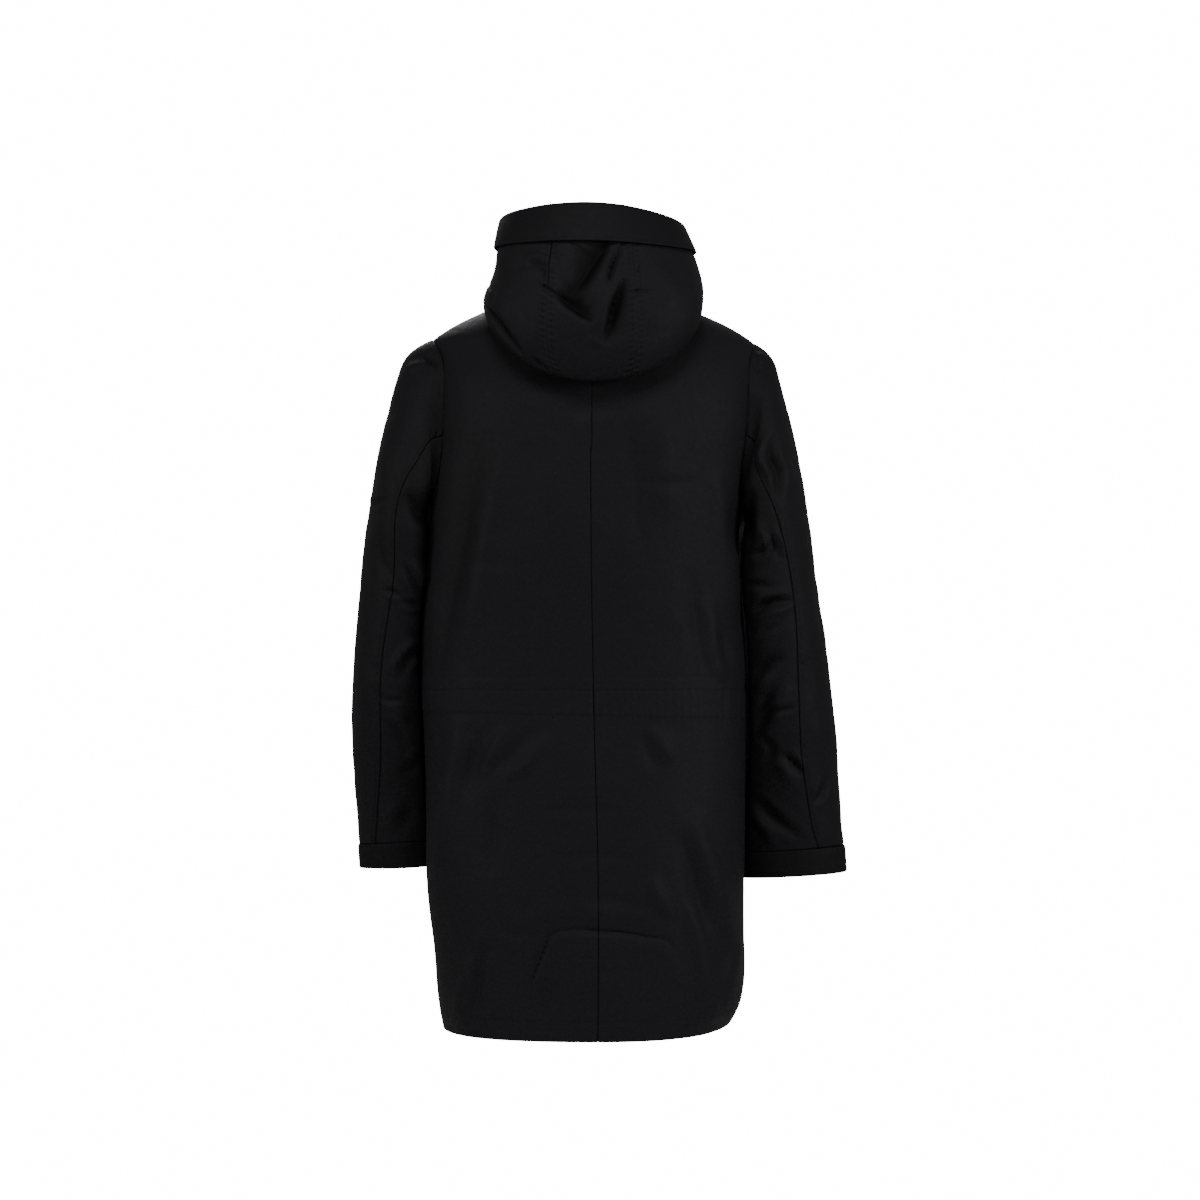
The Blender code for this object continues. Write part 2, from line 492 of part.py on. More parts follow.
def wall(p, thickness, gap=SEAM_GAP):
    """The closed wall of a panel, as points and triangles: its outside, its inside and the cut edge."""
    shift, edges = seam_shift(p, gap)
    outside = p["points"] + shift
    inside = outside - p["normals"] * thickness
    count = len(outside)
    faces = [tuple(f) for f in p["faces"]] + [tuple(count + v for v in f[::-1]) for f in p["faces"]]
    faces += [(b, a, count + a, count + b) for a, b in edges]
    triangles = []
    for a, b, c, d in faces:
        triangles += [t for t in ((a, b, c), (a, c, d)) if len(set(t)) == 3]
    return np.concatenate([outside, inside]), triangles


def add_object(name, points, triangles, colour):
    mesh = bpy.data.meshes.new(name)
    corners = [tuple(v) for v in np.asarray(points) * CM]
    mesh.from_pydata(corners, [], [tuple(int(i) for i in t) for t in triangles])
    mesh.update()
    obj = bpy.data.objects.new(name, mesh)
    bpy.context.scene.collection.objects.link(obj)
    material = bpy.data.materials.new(name)
    material.use_nodes = True
    shader = material.node_tree.nodes["Principled BSDF"]
    shader.inputs["Base Color"].default_value = (*colour, 1)
    shader.inputs["Roughness"].default_value = 0.85
    mesh.materials.append(material)
    return obj


def clear_scene():
    for obj in list(bpy.data.objects):
        bpy.data.objects.remove(obj, do_unlink=True)


SHARES = (0, 0.14, 0.28, 0.37, NECK_SHARE, 0.6, 0.8, 1)
SIDE_STEPS = 4
LOW_ROWS = (0, 0.02, 0.06, 0.12, 0.18, 0.24, 0.3, 0.36, 0.42, 0.48, 0.54, 0.6, 0.66, 0.72, 0.79, 0.86, 0.93, 1)
HIGH_ROWS = (0, 0.15, 0.3, 0.45, 0.58, 0.7, 0.8, 0.88, 0.94, 0.98, 1)
STATIONS = (0, 0.5, 1, 2, 3, 4, 5, 6, 7, 8, 9, 10, 11, 12, 13, 14, 15, 16)
SEAM_COLUMN = 9
BLACK = (0.012, 0.012, 0.013)


def coat_panels():
    grids = {(s, f): body_grids(s, f, SHARES, SIDE_STEPS, LOW_ROWS, HIGH_ROWS)
             for s in (LEFT, RIGHT) for f in (BACK, FRONT)}
    panels = [panel(f"{FACE_NAMES[f]}_{SIDE_NAMES[s]}", pair, [s == f] * 2) for (s, f), pair in grids.items()]
    for side in (LEFT, RIGHT):
        hole = armhole(side, grids, SHARES)
        whole = sleeve_grid(side, hole, SEAM_COLUMN, (*STATIONS, LAST_STATION))
        arm, cuff = whole[: len(STATIONS)], whole[len(STATIONS) - 1 :]
        k = len(hole)
        under = arm[:, SEAM_COLUMN : k - SEAM_COLUMN + 1]
        upper = np.concatenate([arm[:, k - SEAM_COLUMN : k], arm[:, : SEAM_COLUMN + 1]], axis=1)
        flip = side == LEFT
        panels.append(panel(f"sleeve_{SIDE_NAMES[side]}_upper", [upper], [flip]))
        panels.append(panel(f"sleeve_{SIDE_NAMES[side]}_under", [under], [flip]))
        panels.append(panel(f"cuff_{SIDE_NAMES[side]}", [cuff], [flip]))
    strips = [(panel("placket", [placket_grid(grids, SHARES)], [False]), PLACKET_CLOTH),
              (panel("waist_casing", [casing_grid(SHARES, SIDE_STEPS)], [True]), CASING_CLOTH)]
    return panels, strips


def hood_panels():
    left = np.linspace(0, HOOD_SEAMS[0], 19)
    middle = np.linspace(*HOOD_SEAMS, 8)
    right = np.linspace(HOOD_SEAMS[1], 360, 19)
    rows = (0, 0.5, 1, 1.6, 2.2, 2.8, 3.4, 3.8, 4.2, 4.6, 5, 5.4, 5.8, 6.2, 6.6, 7, 7.5, 8, HOOD_END)
    panels = [panel(name, [hood_surface(angle, rows)], [False])
              for name, angle in (("hood_left", left), ("hood_centre", middle), ("hood_right", right))]
    around = np.concatenate([left, middle[1:], right[1:]])
    band = panel("hood_band", [band_grid(around)], [False])
    return panels, band


def main():
    clear_scene()
    panels, strips = coat_panels()
    shared_normals(panels)
    fold(panels, BACK, BACK_FOLDS)
    fold(panels, FRONT, FRONT_FOLDS)
    for p in panels:
        add_object(p["name"], *wall(p, CLOTH), BLACK)
    for p, thickness in strips:
        shared_normals([p])
        fold([p], BACK, BACK_FOLDS)
        add_object(p["name"], *wall(p, thickness), BLACK)
    panels, band = hood_panels()
    shared_normals(panels)
    fold(panels, BACK, HOOD_FOLDS)
    for p in panels:
        add_object(p["name"], *wall(p, CLOTH), BLACK)
    shared_normals([band])
    add_object("hood_band", *wall(band, BAND_CLOTH), BLACK)


main()
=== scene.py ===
"""Looks for the hooded parka coat: each cut piece becomes a thin shell of creased cotton on its solid's form.

The front faces -Y, +X is the wearer's left and +Z is up. Forms are worked out in centimetres, made in metres.
"""

import math

import bpy
import numpy as np
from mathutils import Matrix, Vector


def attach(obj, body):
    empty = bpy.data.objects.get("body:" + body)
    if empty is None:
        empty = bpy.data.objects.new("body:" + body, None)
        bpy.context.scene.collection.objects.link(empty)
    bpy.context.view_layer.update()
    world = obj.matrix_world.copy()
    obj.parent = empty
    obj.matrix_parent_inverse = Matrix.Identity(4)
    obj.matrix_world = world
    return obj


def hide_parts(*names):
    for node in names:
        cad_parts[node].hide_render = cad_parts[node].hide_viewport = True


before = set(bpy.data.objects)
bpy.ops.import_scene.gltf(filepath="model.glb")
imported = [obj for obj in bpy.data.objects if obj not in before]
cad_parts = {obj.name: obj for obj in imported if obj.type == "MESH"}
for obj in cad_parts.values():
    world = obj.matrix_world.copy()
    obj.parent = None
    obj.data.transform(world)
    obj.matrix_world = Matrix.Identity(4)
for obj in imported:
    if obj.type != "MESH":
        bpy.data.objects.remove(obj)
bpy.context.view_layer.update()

CM = 0.01
LEFT, RIGHT = 1, -1
BACK, FRONT = 1, -1
SIDE_NAMES = {LEFT: "left", RIGHT: "right"}
FACE_NAMES = {BACK: "back", FRONT: "front"}

# The coat's form, as its solids have it
CLOTH = 0.22
ARM_LEVEL = -17.0
ARMPIT_DROP = 6.5
CORNER = 0.94
ROUNDNESS = 2.4
NECK_SHARE = 0.41
RIDGE_SLOPE = 0.5
SHOULDER_CROWN = 0.45
NECK_RISE = 0.2
NECK_DEPTH = {BACK: 1.55, FRONT: 7.65}
NECK_POWER = {BACK: 2.5, FRONT: 2.0}
ARCH_POWER = {BACK: 2.6, FRONT: 2.2}
SEAM_Y = (0.5, -0.5)
SHOULDER = {LEFT: (20.9, -1.9), RIGHT: (21.2, -2.3)}
HEM_SIDE = {LEFT: -91.6, RIGHT: -90.2}
HEM_CENTRE = {BACK: -91.92, FRONT: -91.3}
PLACKET_FROM, PLACKET_TO = -1.6, 4.4
PLACKET_CLOTH, PIECE_GAP = 0.2, 0.1
CASING_TOP, CASING_FOOT = -46.9, -50.2
CASING_CLOTH, CASING_GAP = 0.1, 0.3
EDGE = {
    LEFT: ((-92.5, 19.3), (-89, 20.0), (-85, 20.4), (-80, 20.8), (-75, 21.4), (-66, 21.6), (-55, 21.9),
           (-47, 22.3), (-42, 22.4), (-36, 22.1), (-29, 21.4), (-23, 21.0), (-17, 20.6)),
    RIGHT: ((-92.5, 17.2), (-89.5, 19.0), (-87, 19.7), (-80, 19.9), (-70, 19.9), (-60, 20.1), (-52, 20.2),
            (-42, 20.0), (-36, 19.5), (-29, 19.2), (-25, 19.6), (-21, 20.2), (-17, 20.9)),
}
DEPTH = {
    BACK: ((-92.5, 13.6), (-80, 14.0), (-66, 13.6), (-55, 12.8), (-47, 12.4), (-30, 12.8), (-17, 12.5)),
    FRONT: ((-92.5, 13.6), (-78, 13.6), (-60, 13.0), (-47, 12.3), (-30, 12.7), (-17, 12.3)),
}
CENTRE_LINE = ((-92.5, -0.75), (-66, -0.7), (-56, -0.4), (-47, -0.2), (-36, 0), (10, 0))
ARMHOLE = {
    LEFT: ((0, 0), (3, -0.2), (7, -0.25), (11, -0.15), (13.2, 0.35), (15.1, 1.54)),
    RIGHT: ((0, 0), (3, 0.35), (7, 0.6), (11, 0.8), (13, 1.1), (14.7, 1.55)),
}
# One row for each sleeve section: outermost x and z, innermost x and z, and the middle's y and the half depth
SLEEVE = {
    LEFT: ((20.9, -1.9, 21.0, -23.5, -0.2, 7.6), (22.6, -2.7, 21.6, -23.7, -0.3, 7.8),
           (24.3, -4.1, 21.1, -24.2, -0.4, 8.0), (25.5, -6.6, 20.9, -25.0, -0.6, 8.2),
           (26.4, -9.8, 20.7, -25.9, -0.8, 8.3), (27.2, -13.5, 20.5, -26.9, -1.0, 8.3),
           (28.1, -17.5, 20.2, -28.4, -1.2, 8.2), (28.9, -21.5, 20.0, -30.3, -1.4, 8.1),
           (29.6, -26.0, 19.9, -33.1, -1.6, 7.9), (30.2, -31.0, 19.9, -36.6, -1.9, 7.7),
           (30.8, -37.0, 19.9, -41.1, -2.2, 7.4), (31.3, -43.0, 19.9, -46.0, -2.6, 7.1),
           (31.7, -49.1, 19.8, -51.0, -3.2, 6.8), (31.7, -55.2, 19.8, -56.0, -4.1, 6.4),
           (31.4, -60.8, 19.8, -61.0, -5.2, 6.0), (31.2, -65.6, 19.8, -65.2, -6.2, 5.7),
           (31.1, -68.3, 19.8, -67.6, -6.8, 5.5), (30.9, -71.5, 19.6, -71.0, -7.4, 5.4)),
    RIGHT: ((21.2, -2.3, 20.0, -23.5, -0.2, 7.6), (22.6, -3.3, 20.7, -23.8, -0.3, 7.8),
            (23.8, -4.8, 19.8, -24.3, -0.4, 8.0), (24.5, -7.0, 19.2, -25.1, -0.5, 8.1),
            (25.2, -9.7, 18.9, -26.1, -0.6, 8.2), (26.1, -13.0, 18.8, -27.2, -0.8, 8.2),
            (27.0, -17.0, 18.4, -28.8, -1.0, 8.1), (27.8, -21.5, 18.1, -30.8, -1.2, 8.0),
            (28.6, -26.5, 18.0, -33.7, -1.4, 7.8), (29.4, -31.7, 18.1, -37.2, -1.7, 7.6),
            (30.2, -37.4, 18.2, -41.7, -2.0, 7.3), (31.0, -43.6, 18.3, -46.5, -2.3, 7.0),
            (31.8, -49.8, 18.4, -51.7, -2.7, 6.7), (32.3, -55.7, 18.6, -56.7, -3.2, 6.3),
            (32.8, -61.2, 18.9, -61.9, -3.8, 5.8), (33.1, -66.1, 19.1, -66.9, -4.3, 5.3),
            (33.4, -68.3, 19.3, -69.3, -4.6, 5.0), (33.7, -71.8, 19.3, -72.6, -4.9, 4.8)),
}
CUFF_STATION = 16  # the section where the cuff starts
# The sleeve's seams: degrees round the section from its outermost point, behind at each station, and in front
BACK_SEAM = {
    LEFT: ((0, 98), (2, 95), (4, 93), (6, 81), (7, 79), (9, 83), (11, 73), (13, 72), (15, 60), (17, 56)),
    RIGHT: ((0, 116), (2, 108), (3, 102), (5, 96), (6, 88), (8, 72), (10, 68), (12, 74), (14, 72), (15.5, 63),
            (17, 61)),
}
FRONT_SEAM = 112
BODY_CLEARANCE, PRESS = 0.34, 0.2  # sleeve clear of the body, and how softly the body presses it flat
CLEAR_OVER, SETTLE_OVER, FADE_OVER = 2, 5, 7  # stations over which a sleeve leaves the armhole's form
# Hood: x, y and z from the neck seam to the rim, at each angle round the neck
HOOD = {
    0: ((0.3, -10.0, -3.2), (0.4, -11.0, -2.7), (0.5, -11.9, -1.8), (0.6, -12.4, -0.5), (0.8, -12.7, 0.8),
        (1.0, -12.8, 2.0), (1.3, -12.8, 3.1), (1.6, -12.7, 4.0), (1.8, -12.6, 4.8), (2.4, -12.3, 7.8)),
    40: ((6.0, -7.3, 0.5), (7.2, -8.4, 0.6), (8.5, -9.2, 1.3), (9.5, -9.6, 2.5), (10.1, -9.8, 3.7),
         (10.3, -9.8, 4.8), (10.3, -9.7, 5.9), (10.1, -9.5, 7.0), (9.9, -9.3, 7.9), (9.5, -8.9, 11.2)),
    90: ((8.5, 0.6, 4.4), (9.9, 0.8, 4.9), (11.4, 1.0, 4.2), (12.7, 1.2, 3.1), (13.5, 1.4, 2.6),
         (13.9, 1.5, 3.6), (13.2, 1.5, 5.2), (11.7, 1.4, 7.4), (11.8, 1.3, 9.4), (11.6, 1.0, 13.0)),
    135: ((5.7, 5.6, 3.4), (7.6, 7.9, 3.2), (9.2, 10.2, 0.2), (9.9, 11.6, -3.0), (10.6, 12.5, -4.2),
          (11.8, 13.2, -2.4), (12.3, 13.4, 1.2), (11.6, 12.8, 5.0), (11.0, 11.6, 9.1), (9.6, 10.3, 13.6)),
    180: ((0.0, 7.4, 2.85), (0.0, 9.9, 2.6), (0.0, 12.7, -2.4), (0.0, 13.8, -6.9), (0.0, 14.9, -8.4),
          (0.0, 16.5, -6.6), (0.0, 17.6, -1.6), (0.0, 17.0, 3.9), (0.0, 15.7, 9.2), (-0.2, 14.0, 14.3)),
    225: ((-5.7, 5.6, 3.4), (-7.6, 7.9, 3.0), (-9.4, 10.2, -0.2), (-10.2, 11.6, -3.4), (-11.0, 12.5, -4.6),
          (-12.3, 13.2, -2.6), (-12.8, 13.4, 1.0), (-12.3, 12.8, 4.8), (-11.4, 11.6, 8.6),
          (-9.8, 10.3, 12.8)),
    270: ((-8.5, 0.6, 4.4), (-9.9, 0.8, 4.8), (-11.4, 1.0, 3.8), (-12.7, 1.2, 2.4), (-13.6, 1.4, 2.2),
          (-14.0, 1.5, 3.6), (-13.8, 1.5, 5.6), (-13.4, 1.4, 7.4), (-12.9, 1.3, 8.9), (-11.6, 1.0, 12.2)),
    320: ((-6.0, -7.3, 0.5), (-7.2, -8.4, 0.6), (-8.5, -9.2, 1.3), (-9.5, -9.6, 2.5), (-10.1, -9.8, 3.7),
          (-10.3, -9.8, 4.8), (-10.3, -9.7, 5.9), (-10.2, -9.5, 7.0), (-10.0, -9.3, 7.9), (-9.6, -8.9, 11.0)),
}
HOOD[360] = tuple((-x, y, z) for x, y, z in HOOD[0])
HOOD_SEAMS = (163, 197)
HOOD_LIFT = 0.3
BAND_FROM, HOOD_END = 8.0, 8.9
BAND_CLOTH, BAND_PROUD = 0.18, 0.3
BAND_TURN, BAND_INSIDE = 11, (8.84, 8.78, 8.72)  # points round the rim, and rows of the hood inside it

# Creases: height (below 0 for a trough), half width, height of the lips beside it, the x and z along it, and
# how far its slope leans to the left of the way along (x grows to the left as the coat is seen from behind).
# All in centimetres as they show on the plane through the origin, from 4 m away.
DRAPE_DEPTH = 1.7  # share of the heights below that the backs have
BACK_DRAPE = (
    (-0.45, 2.0, 0, ((13.8, -13.6), (15.8, -20.0), (17.1, -27.8), (18.6, -34.3), (19.9, -43.8),
                     (20.7, -47.2))),
    (0.3, 1.6, 0, ((11.4, -15.1), (13.1, -22.9), (14.7, -30.8), (16.0, -38.6), (17.0, -43.9))),
    (0.55, 1.6, 0, ((17.9, -51.2), (17.6, -54.1), (18.2, -59.3), (19.2, -65.0), (19.9, -69.2),
                    (20.7, -72.8))),
    (-0.2, 1.1, 0, ((16.2, -52.0), (16.0, -55.0), (16.9, -60.3), (17.7, -65.1))),
    (-0.2, 1.1, 0, ((12.4, -52.0), (14.3, -54.6), (15.5, -58.0), (16.8, -61.9))),
    (0.3, 1.0, 0, ((11.0, -52.5), (12.7, -55.7), (14.1, -59.0))),
    (-0.19, 0.9, 0, ((7.8, -52.9), (10.3, -56.2), (12.3, -57.5), (14.3, -58.0))),
    (0.22, 1.0, 0, ((5.8, -53.7), (8.4, -57.2), (11.4, -59.2))),
    (-0.25, 1.2, 0, ((12.4, -60.9), (13.0, -64.5), (13.2, -68.4), (13.2, -72.3))),
    (0.45, 1.5, 0, ((-16.5, -18.7), (-17.2, -26.5), (-18.3, -33.0), (-19.0, -37.9))),
    (-0.3, 1.0, 0, ((-18.3, -22.9), (-18.5, -30.4))),
    (0.3, 1.1, 0, ((-7.9, -52.6), (-9.2, -55.0), (-10.5, -57.2))),
    (-0.2, 1.1, 0, ((-6.3, -53.1), (-7.6, -55.9), (-8.4, -58.6))),
    (0.5, 1.5, 0, ((-13.3, -64.0), (-14.9, -69.2), (-16.5, -74.4), (-17.2, -77.0), (-17.8, -80.7))),
    (-0.35, 1.2, 0, ((-11.5, -66.2), (-13.1, -71.1), (-14.4, -76.0), (-15.2, -79.9))),
    (0.4, 1.2, 0, ((-12.7, -75.6), (-14.1, -80.7), (-16.1, -89.8), (-16.8, -91.3))),
    (0.3, 0.9, 0, ((-19.5, -80.7), (-18.5, -83.8), (-18.1, -86.4), (-18.1, -89.2))),
    (0.25, 1.0, 0, ((-7.6, -71.9), (-8.9, -75.1), (-10.1, -77.6))),
    (-0.2, 1.3, 0, ((-12.8, -31.7), (-13.9, -37.9), (-14.5, -41.3))),
    (-0.18, 1.1, 0, ((-13.1, -36.0), (-14.4, -43.2), (-15.2, -47.4))),
    (-0.25, 0.9, 0, ((-16.5, -39.9), (-18.0, -44.5))),
    (0.3, 1.1, 0, ((-15.3, -36.0), (-16.2, -42.6), (-17.0, -46.9))),
    (0.35, 1.0, 0, ((15.7, -82.4), (16.6, -86.5), (17.4, -90.4), (18.0, -92.4))),
    (-0.3, 1.0, 0, ((14.1, -80.6), (15.2, -86.5), (15.7, -91.7))),
    (-0.08, 0.8, 0, ((18.6, -30.8), (14.7, -31.2), (9.4, -30.8))),
    (-0.15, 0.7, 0, ((-6.3, -20.3), (-10.2, -20.8), (-14.1, -20.3))),
    (0.25, 2.2, 0, ((-8.3, -9.8), (-9.2, -16.4), (-10.2, -25.5))),
    (-0.22, 2.0, 0, ((-5.0, -12.4), (-5.8, -20.3), (-6.9, -30.8))),
    (0.22, 2.2, 0, ((4.2, -13.8), (5.2, -22.9), (5.8, -33.4))),
)
BACK_CREASES = (
    (-0.42, 0.4, 0, ((5.6, -79.9), (2.5, -79.16), (-0.8, -79.33), (-4.7, -79.6), (-8.0, -80.2), (-9.6, -80.4),
                    (-11.2, -82.2)), 0.55),
    (-0.5, 0.34, 0, ((3.6, -79.2), (5.0, -79.75), (6.0, -81.4), (7.0, -83.8), (8.4, -87.6)), 0.45),
    (0.14, 1.3, 0, ((8.4, -77.6), (3.5, -77.0), (-2.0, -77.2), (-7.0, -78.0), (-10.5, -79.4))),
    (-0.1, 0.8, 0, ((12.5, -79.4), (9.0, -79.8), (5.8, -79.6))),
    (-0.14, 0.8, 0, ((1.0, -75.2), (-2.6, -75.4), (-6.5, -76.4))),
    (-0.14, 0.7, 0, ((7.5, -63.7), (1.6, -63.4), (-4.3, -63.8))),
    (-0.12, 0.6, 0, ((5.8, -69.8), (-1.0, -69.4), (-6.3, -70.1))),
    (0.12, 1.6, 0, ((4.2, -85.2), (-2.4, -86.5), (-7.6, -85.5))),
    (-0.16, 0.9, 0, ((6.0, -85.5), (6.2, -88.0), (6.0, -91.5))),
    (-0.3, 2.4, 0, ((0.3, -9.2), (0.0, -12.4))),
)
FRONT_CREASES = (
    (-0.3, 1.4, 0.1, ((7.5, -8.5), (10.5, -12.0), (14.0, -14.5))),
    (-0.3, 1.4, 0.1, ((-8.0, -8.5), (-11.5, -12.5), (-15.0, -15.5))),
    (0.3, 1.3, 0, ((6.5, -6.0), (7.8, -14.0), (8.0, -24.0))),
    (0.3, 1.3, 0, ((-6.5, -6.5), (-7.6, -15.0), (-7.9, -23.0))),
)
SLEEVE_DEPTH = 1.3  # share of the heights below that the sleeves have
SLEEVE_CREASES = {
    LEFT: (
        (-0.35, 0.6, 0.2, ((19.0, -5.4), (20.4, -4.7), (22.0, -3.7))),
        (0.3, 0.6, 0, ((21.2, -5.9), (22.8, -5.4), (24.4, -5.8))),
        (0.35, 1.1, 0, ((26.8, -11.8), (26.9, -17.7), (26.9, -22.9))),
        (-0.2, 0.4, 0.12, ((29.3, -23.7), (28.2, -23.3), (27.0, -22.9))),
        (-0.75, 1.3, 0, ((24.5, -21.9), (22.9, -24.0), (21.5, -26.3))),
        (-0.3, 1.0, 0, ((28.0, -27.2), (27.2, -31.7), (25.9, -33.0))),
        (-0.35, 0.5, 0.2, ((24.6, -31.2), (23.6, -33.1), (22.5, -35.1))),
        (0.35, 0.8, 0, ((23.2, -30.8), (22.3, -32.8), (22.0, -34.7))),
        (-0.3, 0.45, 0.15, ((24.9, -36.3), (23.6, -36.5), (22.4, -36.9))),
        (-0.25, 0.4, 0.1, ((27.4, -34.6), (26.1, -35.0), (24.6, -35.6))),
        (0.5, 0.55, 0, ((22.4, -41.4), (24.1, -42.1), (25.4, -43.9), (26.4, -45.7))),
        (-0.35, 0.75, 0, ((22.3, -42.8), (23.9, -43.8), (24.9, -45.2), (25.6, -47.0))),
        (0.25, 0.5, 0, ((22.0, -43.9), (23.3, -44.5), (24.1, -46.0))),
        (-0.25, 0.4, 0.1, ((28.0, -48.7), (26.2, -49.1), (24.4, -49.0))),
        (0.3, 0.7, 0, ((26.7, -49.8), (25.4, -51.0), (24.2, -52.1))),
        (-0.35, 0.8, 0, ((27.0, -51.2), (25.7, -52.8), (24.6, -55.0))),
        (0.3, 0.6, 0, ((24.1, -57.0), (23.3, -55.9), (22.4, -55.2))),
        (-0.3, 0.7, 0, ((25.4, -58.3), (23.8, -58.3), (22.4, -57.2))),
        (0.3, 0.9, 0, ((27.4, -65.2), (26.2, -63.8), (25.0, -62.4))),
        (-0.3, 0.9, 0, ((26.2, -66.9), (24.5, -65.1), (23.3, -63.0))),
        (-0.22, 0.8, 0, ((29.9, -30.8), (29.6, -34.7), (29.9, -38.6))),
        (0.2, 0.9, 0, ((30.3, -41.3), (29.9, -47.8), (30.1, -53.1))),
    ),
    RIGHT: (
        (-0.35, 0.5, 0.2, ((-19.9, -3.5), (-20.8, -4.7), (-21.9, -6.2))),
        (0.35, 0.5, 0, ((-21.0, -3.3), (-22.0, -4.3), (-22.9, -4.2))),
        (-0.55, 0.7, 0.2, ((-24.2, -14.0), (-23.5, -15.9), (-23.4, -17.2), (-24.3, -19.0), (-24.5, -20.6),
                           (-24.2, -22.9))),
        (0.35, 0.7, 0, ((-22.5, -15.1), (-22.3, -17.4), (-23.1, -19.8))),
        (-0.7, 1.1, 0, ((-21.0, -21.6), (-20.3, -24.2), (-20.3, -26.9), (-21.1, -29.1))),
        (-0.45, 0.5, 0.25, ((-22.7, -26.6), (-23.6, -28.2), (-24.7, -30.7))),
        (0.35, 0.7, 0, ((-21.5, -25.5), (-22.5, -27.8), (-23.2, -29.7))),
        (-0.4, 0.5, 0.2, ((-20.8, -29.9), (-22.4, -29.7), (-23.4, -28.6))),
        (-0.3, 0.5, 0.15, ((-19.8, -34.0), (-21.9, -34.0), (-24.1, -34.7))),
        (-0.55, 0.6, 0.3, ((-21.2, -38.3), (-22.0, -37.2), (-22.9, -36.6), (-24.6, -36.2), (-26.5, -36.1))),
        (0.35, 0.7, 0, ((-20.4, -39.4), (-21.6, -38.4), (-23.3, -37.7), (-25.4, -37.5))),
        (-0.3, 0.5, 0.12, ((-21.9, -40.9), (-23.1, -39.8), (-24.5, -39.1))),
        (-0.55, 0.9, 0, ((-20.8, -46.1), (-22.5, -44.7), (-24.2, -43.8), (-25.4, -44.0))),
        (0.45, 0.9, 0, ((-21.0, -47.8), (-22.5, -46.8), (-24.1, -46.0))),
        (-0.5, 0.8, 0, ((-24.2, -46.2), (-23.3, -48.3), (-22.4, -50.6), (-21.6, -54.1))),
        (0.35, 0.8, 0, ((-25.7, -46.5), (-24.9, -49.1), (-23.8, -52.0))),
        (-0.4, 0.5, 0.15, ((-26.6, -49.9), (-25.2, -50.3), (-23.7, -50.8), (-22.0, -52.8))),
        (-0.35, 0.5, 0.15, ((-21.7, -54.1), (-23.1, -54.8), (-23.6, -55.7), (-22.5, -57.2))),
        (-0.6, 0.5, 0.25, ((-24.9, -55.8), (-26.2, -57.2), (-27.6, -59.0))),
        (0.4, 0.6, 0, ((-24.1, -57.0), (-25.4, -58.7), (-26.9, -60.4))),
        (-0.35, 0.5, 0.15, ((-30.8, -59.2), (-30.3, -60.7), (-29.7, -61.9), (-28.7, -62.5))),
        (-0.5, 0.7, 0.2, ((-20.7, -61.8), (-22.3, -63.0), (-23.7, -64.5), (-25.7, -66.0), (-27.6, -67.6))),
        (0.4, 0.7, 0, ((-20.6, -63.8), (-22.4, -66.0), (-24.2, -68.6))),
        (-0.35, 0.6, 0, ((-20.3, -65.1), (-21.5, -66.2), (-22.7, -67.7))),
        (-0.2, 0.8, 0, ((-29.2, -30.8), (-29.6, -36.0), (-30.1, -41.3))),
        (0.2, 0.9, 0, ((-28.8, -47.8), (-29.6, -53.1), (-30.1, -58.3))),
        (-0.25, 0.6, 0, ((-27.2, -12.4), (-28.0, -16.4), (-27.6, -20.3))),
    ),
}
